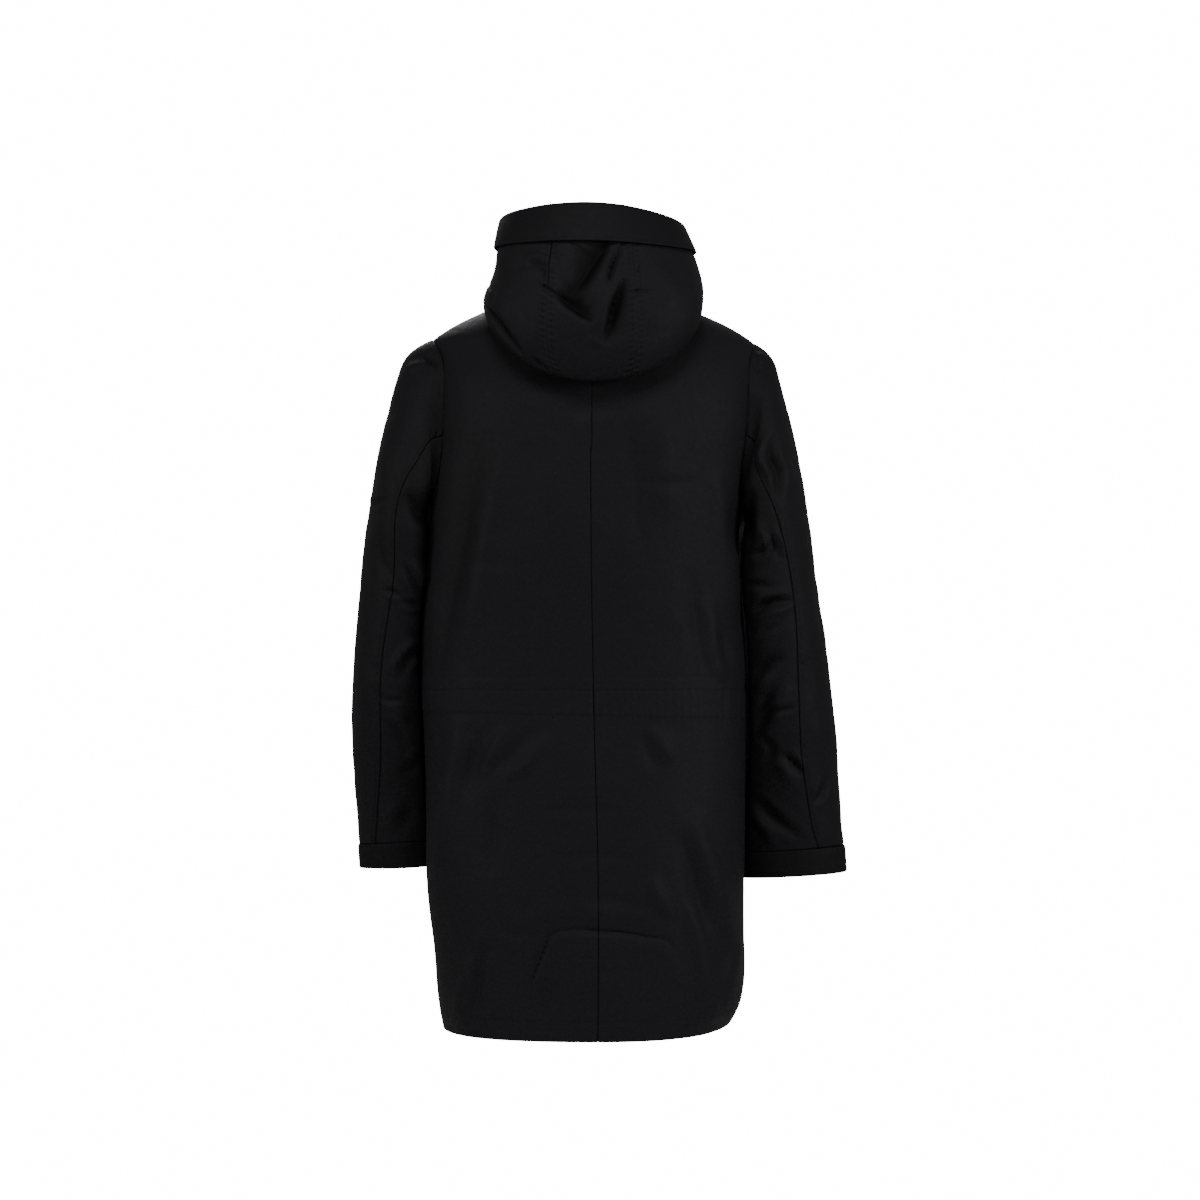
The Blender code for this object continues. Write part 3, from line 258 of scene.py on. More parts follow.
HOOD_CREASES = (
    (-0.22, 0.2, 0.14, ((7.9, 6.3), (6.6, 5.3), (5.2, 4.5), (3.9, 3.5)), 0.3),
    (-1.2, 1.1, 0, ((4.9, 4.2), (3.9, 3.5), (2.5, 2.5), (1.2, 1.5), (-0.2, 0.4)), -0.55),
    (-1.2, 1.4, 0, ((-2.3, 12.2), (-1.5, 10.2), (-0.3, 8.6), (0.6, 7.2), (1.8, 5.5), (3.3, 4.0)), 0.2),
    (-0.55, 0.48, 0.1, ((-4.2, 11.4), (-3.5, 9.8), (-2.9, 8.6), (-2.4, 7.0), (-2.3, 5.2), (-2.5, 4.2)), -0.3),
    (-1.2, 0.95, 0.12, ((-4.3, 6.2), (-3.8, 4.9), (-3.1, 3.2), (-2.5, 0.9), (-1.9, -1.2), (-1.4, -2.6)),
     -0.55),
    (-0.22, 0.2, 0.08, ((-4.9, 4.4), (-6.2, 4.5), (-8.2, 4.3))),
    (0.3, 0.6, 0, ((-2.6, 11.4), (-1.9, 9.0), (-1.0, 6.6), (0.2, 3.6), (0.6, 1.6))),
    (0.36, 0.7, 0, ((-4.0, 9.4), (-3.4, 7.2), (-2.2, 4.4), (-1.0, 1.4), (-0.2, -1.0))),
    (0.3, 1.0, 0, ((3.9, 9.4), (3.3, 7.4), (2.7, 5.2))),
    (-0.22, 0.3, 0.08, ((3.2, 11.3), (2.2, 10.5), (0.6, 9.4))),
    (0.34, 0.6, 0.0, ((8.8, 8.4), (7.2, 9.1), (5.9, 8.6), (5.3, 7.4), (5.9, 6.2))),
    (-0.36, 0.6, 0, ((8.4, 7.6), (7.0, 7.9), (6.3, 7.1), (6.9, 6.3))),
    (0.12, 0.5, 0, ((9.6, 6.9), (7.8, 7.0), (6.8, 6.6))),
    (-0.28, 0.3, 0.1, ((8.1, -4.0), (6.9, -5.0), (5.6, -6.1))),
    (-0.22, 0.25, 0.1, ((7.3, -5.6), (6.0, -6.5), (4.6, -6.9))),
    (-0.8, 0.36, 0.12, ((14.6, 3.0), (13.4, 1.8), (12.4, 0.4), (11.4, -1.0), (10.2, -2.5), (9.0, -4.0)),
     -0.2),
    (-0.3, 0.3, 0.1, ((13.6, 5.6), (13.0, 4.3), (13.2, 2.6))),
    (0.25, 1.6, 0, ((-8.3, 8.3), (-10.0, 5.2), (-10.5, 2.0))),
    (-0.15, 1.2, 0, ((-6.7, 3.3), (-7.3, -0.7), (-6.6, -3.3))),
    (-0.16, 0.9, 0, ((0.4, -2.8), (-0.7, -3.2), (-1.8, -3.3))),
    (-0.25, 0.8, 0, ((12.6, 8.8), (11.4, 7.3), (11.6, 5.2))),
)
HOOD_FRONT_CREASES = (
    (-0.4, 0.8, 0.1, ((-8.5, 6.0), (-6.0, 3.6), (-3.5, 2.2))),
    (-0.4, 0.7, 0.1, ((8.6, 5.6), (6.0, 3.0), (3.8, 1.4))),
    (0.3, 1.0, 0, ((-9.0, 3.2), (-6.4, 1.0), (-3.5, 0.2))),
    (0.3, 1.0, 0, ((9.2, 3.0), (6.8, 0.8), (3.4, -0.2))),
)

FRONT_DRAPE_SHARE, FRONT_DRAPE_DROP = 0.9, 1.5  # the fronts' drape is the backs', turned round and lower
HIDDEN_SHARE, HIDDEN_DROP = 0.7, 2.3  # a sleeve's front has its back's creases, milder and lower
HOOD_SHOWN_FROM, HOOD_CLEAR_FROM = 3.4, 6.6  # rows of the hood where its creases and its clear seams start
HOOD_SHOWN_OVER, HOOD_CLEAR_OVER = 0.9, 0.5  # rows that each takes to reach its full share
FACING_FROM, FACING_OVER = -0.25, 0.6  # parts of a normal over which cloth comes to face back or front
CLEAR_WIDTH = 0.9  # how far from another piece a crease is eased out
CREASE_REACH = 3.2  # half widths from a crease to where it has no effect
END_WIDTH, TAPER_POWER = 0.55, 0.7  # how narrow a crease is at its ends, and how soon it thins out
TROUGH_POWER, RIDGE_POWER = 1.5, 2.0
LIP_AT, LIP_WIDTH = 1.9, 0.8  # in half widths of the crease
SIDE_BLEND = 0.05  # how near its middle the two sides of a crease blend
PATH_RUNS = 5  # straight runs between two points of a crease
# How uneven each kind of cloth is: height, size and seed of each layer of noise
UNEVEN = {
    "body": ((0.12, (6, 6, 15), 1), (0.05, (3, 3, 5), 2), (0.02, 1.1, 3)),
    "placket": ((0.03, (2, 2, 6), 51),),
    "sleeve": ((0.14, (5, 5, 7), 11), (0.06, (2.4, 2.4, 2.0), 12), (0.02, 1.0, 13)),
    "cuff": ((0.1, (4, 4, 3), 21), (0.03, 1.2, 22)),
    "hood": ((0.1, 4, 31), (0.045, 1.7, 32), (0.015, 0.8, 33)),
    "band": ((0.07, (5, 5, 3.5), 41), (0.02, 1.6, 42)),
}
CUFF_PROUD, CUFF_RISE = 0.09, 0.5  # how proud a cuff is of its sleeve, and over what distance it gets there
ROUND_EDGE = (45, 90, 135)
FAR = 99.0  # from an edge that a point isn't beside

# Stitching
SEAM_LINE, SEAM_HOLLOW = (0.1, 0.07), (0.035, 0.32)  # depth and half width of the dips along every seam
SEAM_DARK = 0.09  # half width of a seam's dark line
HALF_SEAM, FAINT_SEAM = 0.5, 0.15  # share of a line that two pieces have half each, and of a faint one
STITCH_WIDTH = 0.12  # half width of the dip along a line of stitches
STITCH_DIP, CLEAR_DIP, BAND_DIP = 0.03, 0.05, 0.02  # depth of that dip, where it is clear, and on the band
HEM_DIP, CASING_FAINT_DIP = (0.04, 0.14), (0.025, 0.2)  # depth and half width of wider ones
HEM_WAVES, HEM_WAVES_REACH = 0.02, 0.8  # height of the ripples beside the hem's stitches, and how far they go
CASING_LINES = ((-47.75, -47.75), (-50.7, -51.6))  # seen height of each at the wearer's left and right
CASING_REACH = 22  # how far left and right those heights are
CASING_FAINT = -46.1
CASING_DARK, CASING_SHARES = 0.11, (0.3, 0.1)  # half width of a line's dark mark, and how dark each one is
CASING_WITHIN = (0.4, -0.5, 0.5)  # from the upper line down to the lower one, and the blend at each
CASING_PUFF, CASING_WAVES = 0.035, 0.065  # how proud the cloth is between them, and its ripples' height
CASING_WAVES_REACH = (1.0, 1.3)  # how far the ripples go beyond each line
CASING_PATCHY = ((2.8, 2.8, 6), 9)  # size and seed of what makes them uneven
TAB = (4.35, -6.7, -79.8, -83.0)  # stitched rectangle over the hem: seen x and x, z and z
SEAM_STITCH, BAND_STITCH, HEM_STITCH, PLACKET_STITCH, CUFF_STITCH = 0.62, 0.35, 2.6, 0.5, 0.5
HOOD_UNSEWN = 40  # rows of the hood's seams whose stitches are hidden
# Puckers beside seams: how patchy they are, and over what size, how they wander, how near the seam they
# start, and where their stitches lie, in shares of the puckers' own distance
PUCKER_LEAST, PUCKER_PATCHY, PUCKER_PATCH = 0.45, 1.2, 3.4
PUCKER_WANDER, PUCKER_START, PUCKER_STITCH = (3.0, 2.6), 0.18, 1.25
# Ripples beside stitches: length of a wave, how far it wanders, and the size and seed of that
HEM_RIPPLE, CASING_RIPPLE = (1.3, 3, 3, 5), (0.95, 3.4, (2.2, 2.2, 4), 8)
# Lines of stitches for each kind of cloth: piece, edge, distance from it, and the rows without stitches
SEWN = {
    "hood": [("hood_centre", "from_left", SEAM_STITCH, HOOD_UNSEWN),
             ("hood_centre", "from_right", SEAM_STITCH, HOOD_UNSEWN),
             ("hood_left", "from_right", SEAM_STITCH, HOOD_UNSEWN),
             ("hood_right", "from_left", SEAM_STITCH, HOOD_UNSEWN),
             ("hood_band", "from_bottom", BAND_STITCH)],
    "sleeve": [(f"sleeve_{side}_upper", edge, SEAM_STITCH)
               for side in SIDE_NAMES.values() for edge in ("from_left", "from_right")],
    "coat": [*((f"{face}_{side}", "from_bottom", HEM_STITCH)
               for face in FACE_NAMES.values() for side in SIDE_NAMES.values()),
             *(("placket", edge, PLACKET_STITCH) for edge in ("from_left", "from_right")),
             *((f"back_{side}", line, 0.0)
               for side in SIDE_NAMES.values() for line in ("casing_upper", "casing_lower"))],
    "cuff": [(f"cuff_{side}", edge, distance) for side in SIDE_NAMES.values()
             for edge, distance in (("from_bottom", BAND_STITCH), ("from_top", CUFF_STITCH))],
}
STITCH, PITCH, THREAD = 0.26, 0.37, 0.02  # length of a stitch, from one to the next, and the thread's radius
# Each section of a stitch: its place along it, its size and how far up it lies, in radii of the thread
THREAD_SECTIONS = ((0, 0.15, -0.4), (0.25, 1.0, 0.35), (0.75, 1.0, 0.35), (1, 0.15, -0.4))

# Finish
BLACK = (0.0088, 0.0084, 0.0098)
THREAD_BLACK = (0.006, 0.006, 0.007)
# Kinds of cloth: share of the black, and how crinkled it is. The shares below 1 are painted shade: the
# sleeves, cuffs and band are the same black cloth, darkened where less light falls on them.
CLOTHS_WITH_PAINTED_SHADE = {"coat": (1.0, 1.0), "casing": (1.0, 1.0), "sleeve": (0.92, 1.0), "cuff": (0.74, 0.8),
          "hood": (1.0, 1.2), "band": (0.83, 0.9)}
ROUGHNESS, ROUGHNESS_SPREAD, SPECULAR, SHEEN = 0.62, 0.16, 0.08, 0.08
SHEEN_TINT = (0.05, 0.05, 0.055, 1)
THREAD_ROUGHNESS = 0.7
THREAD_PITCH, SLUB_SCALE = 0.0006, (900, 160, 1)  # of the weave, in metres, and a metre's slubs each way
SMALL_SCALE, BROAD_SCALE = 130.0, 26.0  # of the wrinkles and of the mottling
WEAVE_SHARE = 0.35  # of the weave beside the slubs
MOTTLE_SHARE, MOTTLE_RANGE, MOTTLE_LEAST = 0.3, 0.55, 0.64  # of broad clouds beside the slubs, and the shades
THREAD_STRENGTH, WRINKLE_STRENGTH = 0.3, 0.6
THREAD_RELIEF, WRINKLE_RELIEF = 0.0001, 0.0009  # in metres
DARKEST = 0.8  # share of the colour taken away where the 'line' attribute is full, at a seam's dark line and at full painted shade
TROUGH_PAINTED_SHADE = {"back": 0.25, "sleeve": 0.5, "hood": 1.0}  # painted shade: how much each kind's troughs are darkened
FULL_TROUGH = 0.8  # depth of a trough that has its full painted shade
ARM_PAINTED_SHADE = 0.95  # painted shade: how much the colour is darkened where the sleeves lie against the body
ARM_STRIP, ARM_STRIP_FOOT = {BACK: 1.0, FRONT: 4.0}, -70  # width of that strip on the body, and where it ends
ARM_STRIP_FADE = 4  # how far it takes to end
INWARDS_FROM, INWARDS_OVER = 0.7, 0.2  # how far a sleeve's cloth faces the body where it has painted shade
INWARDS_BELOW, INWARDS_FADE = 5, 3  # how far under the arm level that starts, and how far it takes

# Each piece's kind of cloth, wall, flat width and length in metres, and its area if it isn't a rectangle
PIECES = {
    "back_left": ("coat", CLOTH, 0.33, 0.96, 0.265),
    "back_right": ("coat", CLOTH, 0.32, 0.96, 0.25),
    "front_left": ("coat", CLOTH, 0.33, 0.95, 0.258),
    "front_right": ("coat", CLOTH, 0.32, 0.95, 0.242),
    "placket": ("coat", PLACKET_CLOTH, 0.063, 0.87, None),
    "waist_casing": ("casing", CASING_CLOTH, 0.56, 0.033, None),
    "sleeve_left_upper": ("sleeve", CLOTH, 0.28, 0.68, 0.141),
    "sleeve_left_under": ("sleeve", CLOTH, 0.22, 0.55, 0.093),
    "sleeve_right_upper": ("sleeve", CLOTH, 0.28, 0.68, 0.141),
    "sleeve_right_under": ("sleeve", CLOTH, 0.23, 0.57, 0.101),
    "cuff_left": ("cuff", CLOTH, 0.36, 0.034, None),
    "cuff_right": ("cuff", CLOTH, 0.37, 0.035, None),
    "hood_centre": ("hood", CLOTH, 0.1, 0.4, None),
    "hood_left": ("hood", CLOTH, 0.31, 0.33, 0.077),
    "hood_right": ("hood", CLOTH, 0.31, 0.33, 0.077),
    "hood_band": ("band", BAND_CLOTH, 0.83, 0.063, None),
}

# The view the coat is seen in, in metres
CAMERA_AT = (-0.0105, 4.0, -0.36)
LENS, SENSOR = 91.6, 36
FLOOR_Z, FLOOR_RADIUS, FLOOR_DEPTH = -1.48, 1.3, 0.02
FLOOR_COLOUR, FLOOR_ROUGHNESS, WHITE = (0.86, 0.86, 0.86), 0.9, (1, 1, 1, 1)
# Name, place, size and power of each soft light
LIGHTS = (
    ("key", (0.2, 3.0, 2.4), 1.5, 72),
    ("left", (2.9, 1.8, 0.3), 1.2, 44),
    ("right", (-2.9, 2.0, 0.3), 1.2, 66),
    ("front", (0.6, -3.0, 2.3), 1.5, 85),
)
LIGHT_AIM = (0, 0, -0.45)
# The studio's own light: all round, more from beyond the coat's front, and what the camera sees behind it
STUDIO, BEYOND, BACKDROP = 0.1, 0.2, 16.0


def spline(table, at):
    """Values at each place of `at`, on the smooth curve through a table of rows (place, value, ...)."""
    rows = np.array(table, float)
    places, values = rows[:, 0], rows[:, 1:]
    step = np.diff(places)[:, None]
    slope = np.diff(values, axis=0) / step
    system, right = np.eye(len(places)), np.zeros_like(values)
    for i in range(1, len(places) - 1):
        before, after = step[i - 1, 0], step[i, 0]
        system[i, i - 1 : i + 2] = before, 2 * (before + after), after
        right[i] = 6 * (slope[i] - slope[i - 1])
    bend = np.linalg.solve(system, right)
    at = np.clip(np.atleast_1d(np.asarray(at, float)), places[0], places[-1])
    k = np.clip(np.searchsorted(places, at) - 1, 0, len(places) - 2)
    s, w = (at - places[k])[:, None], step[k]
    start = slope[k] - w * (2 * bend[k] + bend[k + 1]) / 6
    found = values[k] + s * start + bend[k] * s**2 / 2 + (bend[k + 1] - bend[k]) * s**3 / (6 * w)
    return found[:, 0] if found.shape[1] == 1 else found


def smooth_step(value):
    value = np.clip(value, 0, 1)
    return value * value * (3 - 2 * value)


def bell(distance, width):
    """1 on a line, and less on both sides of it."""
    return np.exp(-((distance / width) ** 2))


def unit(vectors):
    return vectors / np.maximum(np.linalg.norm(vectors, axis=-1, keepdims=True), 1e-12)


def distances(points):
    """Distance along a line of points from its first one."""
    return np.concatenate([[0], np.cumsum(np.linalg.norm(np.diff(points, axis=0), axis=1))])


# The coat's form


def trunk(side, face, theta, z):
    theta, z = np.broadcast_arrays(np.asarray(theta, float), np.asarray(z, float))
    shape, theta, z = z.shape, theta.ravel(), z.ravel()
    centre = spline(CENTRE_LINE, z)
    reach = side * spline(EDGE[side], z) - centre
    x = centre + reach * np.sin(theta) ** (2 / ROUNDNESS)
    y = face * spline(DEPTH[face], z) * np.maximum(np.cos(theta), 0) ** (2 / ROUNDNESS)
    return np.stack([x, y, z], axis=-1).reshape(*shape, 3)


def shoulder_height(side, x):
    shoulder_x, shoulder_z = SHOULDER[side]
    neck_x = NECK_SHARE * shoulder_x
    outwards = np.clip((x - neck_x) / (shoulder_x - neck_x), 0, 1)
    outside = shoulder_z + RIDGE_SLOPE * (shoulder_x - np.maximum(x, neck_x))
    outside = outside + SHOULDER_CROWN * np.sin(math.pi * outwards**2)
    return outside + NECK_RISE * np.maximum(neck_x - x, 0)


def neckline_height(side, face, x):
    neck_x = NECK_SHARE * SHOULDER[side][0]
    top = shoulder_height(side, neck_x)
    return top - NECK_DEPTH[face] * (1 - np.minimum(x / neck_x, 1) ** NECK_POWER[face])


def chest(side, face, share, rise):
    share, rise = np.broadcast_arrays(np.asarray(share, float), np.asarray(rise, float))
    top_x = share * SHOULDER[side][0]
    ridge = shoulder_height(side, top_x)
    neck = neckline_height(side, face, top_x)
    in_neck = share < NECK_SHARE - 1e-9
    end = np.where(in_neck, (neck - ARM_LEVEL) / (ridge - ARM_LEVEL), 1.0)
    part = rise * end
    z = ARM_LEVEL + part * (ridge - ARM_LEVEL)
    start = CORNER * spline(EDGE[side], [ARM_LEVEL])[0]
    edge = start + spline(ARMHOLE[side], (z - ARM_LEVEL).ravel()).reshape(z.shape)
    depth = spline(DEPTH[face], [ARM_LEVEL])[0] * (1 - (share * CORNER) ** ROUNDNESS) ** (1 / ROUNDNESS)
    outwards = np.clip((share - NECK_SHARE) / (1 - NECK_SHARE), 0, 1)
    seam_y = SEAM_Y[0] + (SEAM_Y[1] - SEAM_Y[0]) * outwards
    y = seam_y + (face * depth - seam_y) * np.sqrt(np.maximum(1 - part ** ARCH_POWER[face], 0))
    return np.stack([side * share * edge, y, z], axis=-1)


def body_angles(shares, side_steps):
    inner = np.arcsin((np.asarray(shares) * CORNER) ** (ROUNDNESS / 2))
    outer = inner[-1] + (math.pi / 2 - inner[-1]) * np.arange(1, side_steps + 1) / side_steps
    return inner, np.concatenate([inner, outer])


def body_grids(side, face, shares, side_steps, low_rows, high_rows):
    """The two grids of one front or back: below the arm level, and above it."""
    inner, theta = body_angles(shares, side_steps)
    along = np.clip((theta - inner[-1]) / (math.pi / 2 - inner[-1]), 0, 1)
    top = ARM_LEVEL - ARMPIT_DROP * np.sqrt(1 - (1 - along) ** 2)
    hem = HEM_SIDE[side] + (HEM_CENTRE[face] - HEM_SIDE[side]) * np.sqrt(np.maximum(np.cos(theta), 0))
    rows = np.asarray(low_rows)[:, None]
    low = trunk(side, face, theta[None, :], hem + rows * (top - hem))
    high = chest(side, face, np.asarray(shares)[None, :], np.asarray(high_rows)[:, None])
    high[0] = low[-1, : len(shares)]
    return low, high


def armhole(side, grids, shares):
    last = len(shares) - 1
    back_low, back_high = grids[side, BACK]
    front_low, front_high = grids[side, FRONT]
    down = np.concatenate([back_high[::-1, last], back_low[-1, last + 1 :]])
    up = np.concatenate([front_low[-1, last + 1 : -1][::-1], front_high[:-1, last]])
    return np.concatenate([down, up])


def sleeve_section(side, station, angle):
    outer_x, outer_z, inner_x, inner_z, middle_y, half = (
        column[:, None] for column in spline([(i, *row) for i, row in enumerate(SLEEVE[side])], station).T
    )
    along = (1 + np.cos(angle)) / 2
    x = side * (inner_x + (outer_x - inner_x) * along)
    y = middle_y + half * np.sin(angle)
    z = inner_z + (outer_z - inner_z) * along
    return np.stack([x, y, z], axis=-1)


def clear_of_body(points, side, share):
    """Moves a sleeve's points out of the coat's side, which presses the sleeve flat there."""
    x, y, z = points[..., 0], points[..., 1], points[..., 2]
    flat = z.ravel()
    behind, before = (spline(DEPTH[face], flat).reshape(z.shape) for face in (BACK, FRONT))
    depth = np.where(y > 0, behind, before)
    inside = np.maximum(1 - (np.abs(y) / depth) ** ROUNDNESS, 0) ** (1 / ROUNDNESS)
    wall_at = spline(EDGE[side], flat).reshape(z.shape) * inside + BODY_CLEARANCE
    eased = wall_at + PRESS * np.logaddexp(0, (side * x - wall_at) / PRESS)
    moved = points.copy()
    moved[..., 0] = side * (side * x + share * (eased - side * x) * (z < ARM_LEVEL))
    return moved


def sleeve_grid(side, hole, place, seam_at, stations):
    """The whole sleeve as a grid of sections, closed round, whose first row is the armhole.

    `place` says how far round each of its columns is, and `seam_at` which column has the back seam.
    """
    count = len(hole)
    pit = int(np.argmin(hole[:, 2]))
    ends = np.concatenate([hole, hole[:1]])
    length = distances(ends)
    first = np.where(np.arange(count + 1) <= pit, length / length[pit] * math.pi,
                     math.pi + (length - length[pit]) / (length[-1] - length[pit]) * math.pi)
    stations = np.asarray(stations, float)
    back_seam = np.radians(spline(BACK_SEAM[side], stations))[:, None]
    front_seam = math.radians(360 - FRONT_SEAM)
    turns = (0, seam_at, pit, count - seam_at, count)
    wanted = np.zeros((len(stations), count + 1))
    limits = (0, back_seam, math.pi, front_seam, 2 * math.pi)
    for a, b, low, high in zip(turns, turns[1:], limits, limits[1:]):
        span = slice(a, b + 1)
        wanted[:, span] = low + (high - low) * (place[span] - place[a]) / (place[b] - place[a])
    settle = smooth_step(stations / SETTLE_OVER)[:, None]
    angle = first[None, :] + settle * (wanted - first[None, :])
    points = sleeve_section(side, stations, angle)
    plain = sleeve_section(side, np.zeros(1), first[None, :])[0]
    fade = (1 - smooth_step(stations / FADE_OVER))[:, None, None]
    points = points + (ends - plain)[None] * fade
    points = clear_of_body(points, side, smooth_step(stations / CLEAR_OVER)[:, None])
    points[0] = ends
    return points


def neckline(angle):
    found = []
    for a in np.atleast_1d(angle):
        side = LEFT if a <= 180 else RIGHT
        face = FRONT if math.cos(math.radians(a)) > 0 else BACK
        share = min(NECK_SHARE * abs(math.sin(math.radians(a))), NECK_SHARE - 1e-6)
        found.append(chest(side, face, share, 1.0))
    return np.array(found)


def hood_surface(angle, row):
    """The hood's outer side at every angle (degrees round the neck) and row (0 neck seam, 9 rim)."""
    angles = sorted(HOOD)
    net = np.array([HOOD[a] for a in angles], float)
    count = net.shape[1]
    across = spline([(a, *net[i].ravel()) for i, a in enumerate(angles)], angle).reshape(-1, count, 3)
    across[:, 0] = neckline(angle) + (0, 0, HOOD_LIFT)
    flat = np.moveaxis(across, 1, 0).reshape(count, -1)
    found = spline([(i, *flat[i]) for i in range(count)], row)
    return found.reshape(len(np.atleast_1d(row)), -1, 3)


def grid_normals(grid):
    return unit(np.cross(np.gradient(grid, axis=1), np.gradient(grid, axis=0)))


def band_grid(angle, rows):
    """The turned-back band: down the outside of the hood, over the rim and a little way down inside."""
    outside = hood_surface(angle, rows)
    nearby = np.array([-0.2, -0.1, 0, 0.1])
    out = np.stack([grid_normals(hood_surface(angle, row + nearby))[2] for row in rows])
    reach = BAND_PROUD + BAND_CLOTH
    rim, rim_out = outside[-1], out[-1]
    below, end = hood_surface(angle, np.array([HOOD_END - 0.1, HOOD_END]))
    upward = unit(end - below)
    middle = -CLOTH / 2
    radius = reach + CLOTH / 2
    turn = [rim + rim_out * middle + radius * (math.cos(t) * rim_out + math.sin(t) * upward)
            for t in np.radians(np.linspace(0, 180, BAND_TURN))]
    inside = hood_surface(angle, np.array(BAND_INSIDE)) + out[-1] * (middle - radius)
    return np.stack([*(outside[:-1] + out[:-1] * reach), *turn, *inside])


def placket_grid(grids, shares, columns):
    """The fly strip on the outside of the fronts, over the centre front line."""
    sides = {}
    for side in (LEFT, RIGHT):
        low, high = grids[side, FRONT]
        sides[side] = np.concatenate([low[:, : len(shares)], high[1:-1]])
    reach = CORNER * EDGE[LEFT][-1][1]
    whole = np.concatenate([sides[RIGHT][:, :0:-1], sides[LEFT]], axis=1)
    at = np.concatenate([-np.asarray(shares)[:0:-1], shares]) * reach
    wanted = np.linspace(PLACKET_FROM, PLACKET_TO, columns)
    place = np.interp(wanted, at, np.arange(len(at)))
    k = np.minimum(place.astype(int), len(at) - 2)
    part = (place - k)[None, :, None]
    grid = whole[:, k] * (1 - part) + whole[:, k + 1] * part
    return grid + grid_normals(grid) * (PLACKET_CLOTH + PIECE_GAP)


def casing_grid(shares, side_steps, rows):
    """The waist casing, a strip against the inside of both backs."""
    theta = body_angles(shares, side_steps)[1]
    heights = np.linspace(CASING_FOOT, CASING_TOP, rows)[:, None]
    right = trunk(RIGHT, BACK, theta[None, :0:-1], heights)
    left = trunk(LEFT, BACK, theta[None, :], heights)
    grid = np.concatenate([right, left], axis=1)
    return grid - grid_normals(grid[:, ::-1])[:, ::-1] * (CLOTH + CASING_GAP)


# Creases, noise and seams

# What turns the cell of a point into a random whole number, up to the largest
CELL_FACTORS, SEED_FACTOR, SEED_SHIFT = (73856093, 19349663, 83492791), 7919, 11.7
SCRAMBLES, LARGEST = ((13, 1274126177), (11, 668265263)), 0x7FFFFFFF


def noise(points, size, seed):
    """Smooth values from -1 to 1 that change over about `size`, the same on every run."""
    place = points / np.asarray(size, float) + seed * SEED_SHIFT
    cell = np.floor(place).astype(np.int64)
    part = smooth_step(place - cell)
    total = np.zeros(points.shape[:-1])
    for corner in np.ndindex(2, 2, 2):
        mixed = seed * SEED_FACTOR
        for column, factor in zip(np.moveaxis(cell + corner, -1, 0), CELL_FACTORS):
            mixed = mixed ^ (column * factor)
        for shift, factor in SCRAMBLES:
            mixed = ((mixed ^ (mixed >> shift)) * factor) & LARGEST
        value = mixed / (LARGEST // 2) - 1
        share = np.prod(np.where(np.array(corner) == 1, part, 1 - part), axis=-1)
        total += value * share
    return total


def unevenness(points, kind, layers=None):
    """How uneven a kind of cloth is: all its layers of noise, or only the first ones."""
    return sum(height * noise(points, size, seed) for height, size, seed in UNEVEN[kind][:layers])


def ripple(points, run, wave, wander, size, seed):
    """Waves from -1 to 1 along a run, which wander a little."""
    return np.sin(2 * math.pi * run / wave + wander * noise(points, size, seed))


def seen(points):
    """Where a point shows on the plane through the origin, seen from behind."""
    nearer = 1 - points[..., 1] / (100 * CAMERA_AT[1])
    level = 100 * CAMERA_AT[2]
    return points[..., 0] / nearer, level + (points[..., 2] - level) / nearer


def smooth_path(path):
    """A smooth curve through the points, as short straight runs, and the share of its length at each."""
    points = np.array(path, float)
    length = distances(points)
    at = np.linspace(0, length[-1], PATH_RUNS * (len(points) - 1) + 1)
    return spline(np.column_stack([length, points]), at), at / length[-1]


def crease_height(x, z, creases):
    """How far each point is raised or sunk by the creases, which thin out towards their ends."""
    total = np.zeros(x.shape)
    for height, width, lip, path, *rest in creases:
        lean = rest[0] if rest else 0.0
        line, share = smooth_path(path)
        reach = CREASE_REACH * width
        low, high = line.min(axis=0) - reach, line.max(axis=0) + reach
        near = (x > low[0]) & (x < high[0]) & (z > low[1]) & (z < high[1])
        px, pz = x[near], z[near]
        best, along, beside = (np.full(px.shape, value) for value in (np.inf, 0.0, 0.0))
        for (ax, az), (bx, bz), start, stop in zip(line, line[1:], share, share[1:]):
            dx, dz = bx - ax, bz - az
            t = np.clip(((px - ax) * dx + (pz - az) * dz) / (dx * dx + dz * dz), 0, 1)
            found = np.hypot(px - ax - t * dx, pz - az - t * dz)
            nearer = found < best
            along = np.where(nearer, start + t * (stop - start), along)
            beside = np.where(nearer, dx * (pz - az) - dz * (px - ax), beside)
            best = np.minimum(best, found)
        taper = np.sin(math.pi * along) ** TAPER_POWER
        side = np.tanh(beside / SIDE_BLEND)
        slope = best / (width * (END_WIDTH + (1 - END_WIDTH) * taper) * (1 + lean * side))
        profile = height * np.exp(-(slope ** (TROUGH_POWER if height < 0 else RIDGE_POWER)))
        steep = 1.0 if not lean else (1 - math.copysign(1, lean) * side) / 2
        profile += lip * steep * bell(slope - LIP_AT, LIP_WIDTH)
        total[near] += profile * taper
    return total


def moved(creases, share, drop=0, mirror=1):
    """The same creases with a share of their height, lower down, and mirrored if `mirror` is -1."""
    return [(height * share, width, lip * share, [(mirror * x, z - drop) for x, z in path],
             *(mirror * lean for lean in rest))
            for height, width, lip, path, *rest in creases]


def front_folds(points):
    """The fronts' folds: the backs' drape turned round, and the fronts' own creases."""
    x, z = points[..., 0], points[..., 2]
    drape = moved(BACK_DRAPE, FRONT_DRAPE_SHARE, FRONT_DRAPE_DROP, -1)
    return crease_height(x, z, drape) + crease_height(x, z, FRONT_CREASES)


def lengths(grid, axis):
    """Distance along the grid from its first column or row."""
    run = np.linalg.norm(np.diff(grid, axis=axis), axis=-1)
    start = np.zeros_like(run[:, :1] if axis == 1 else run[:1])
    return np.cumsum(np.concatenate([start, run], axis=axis), axis=axis)


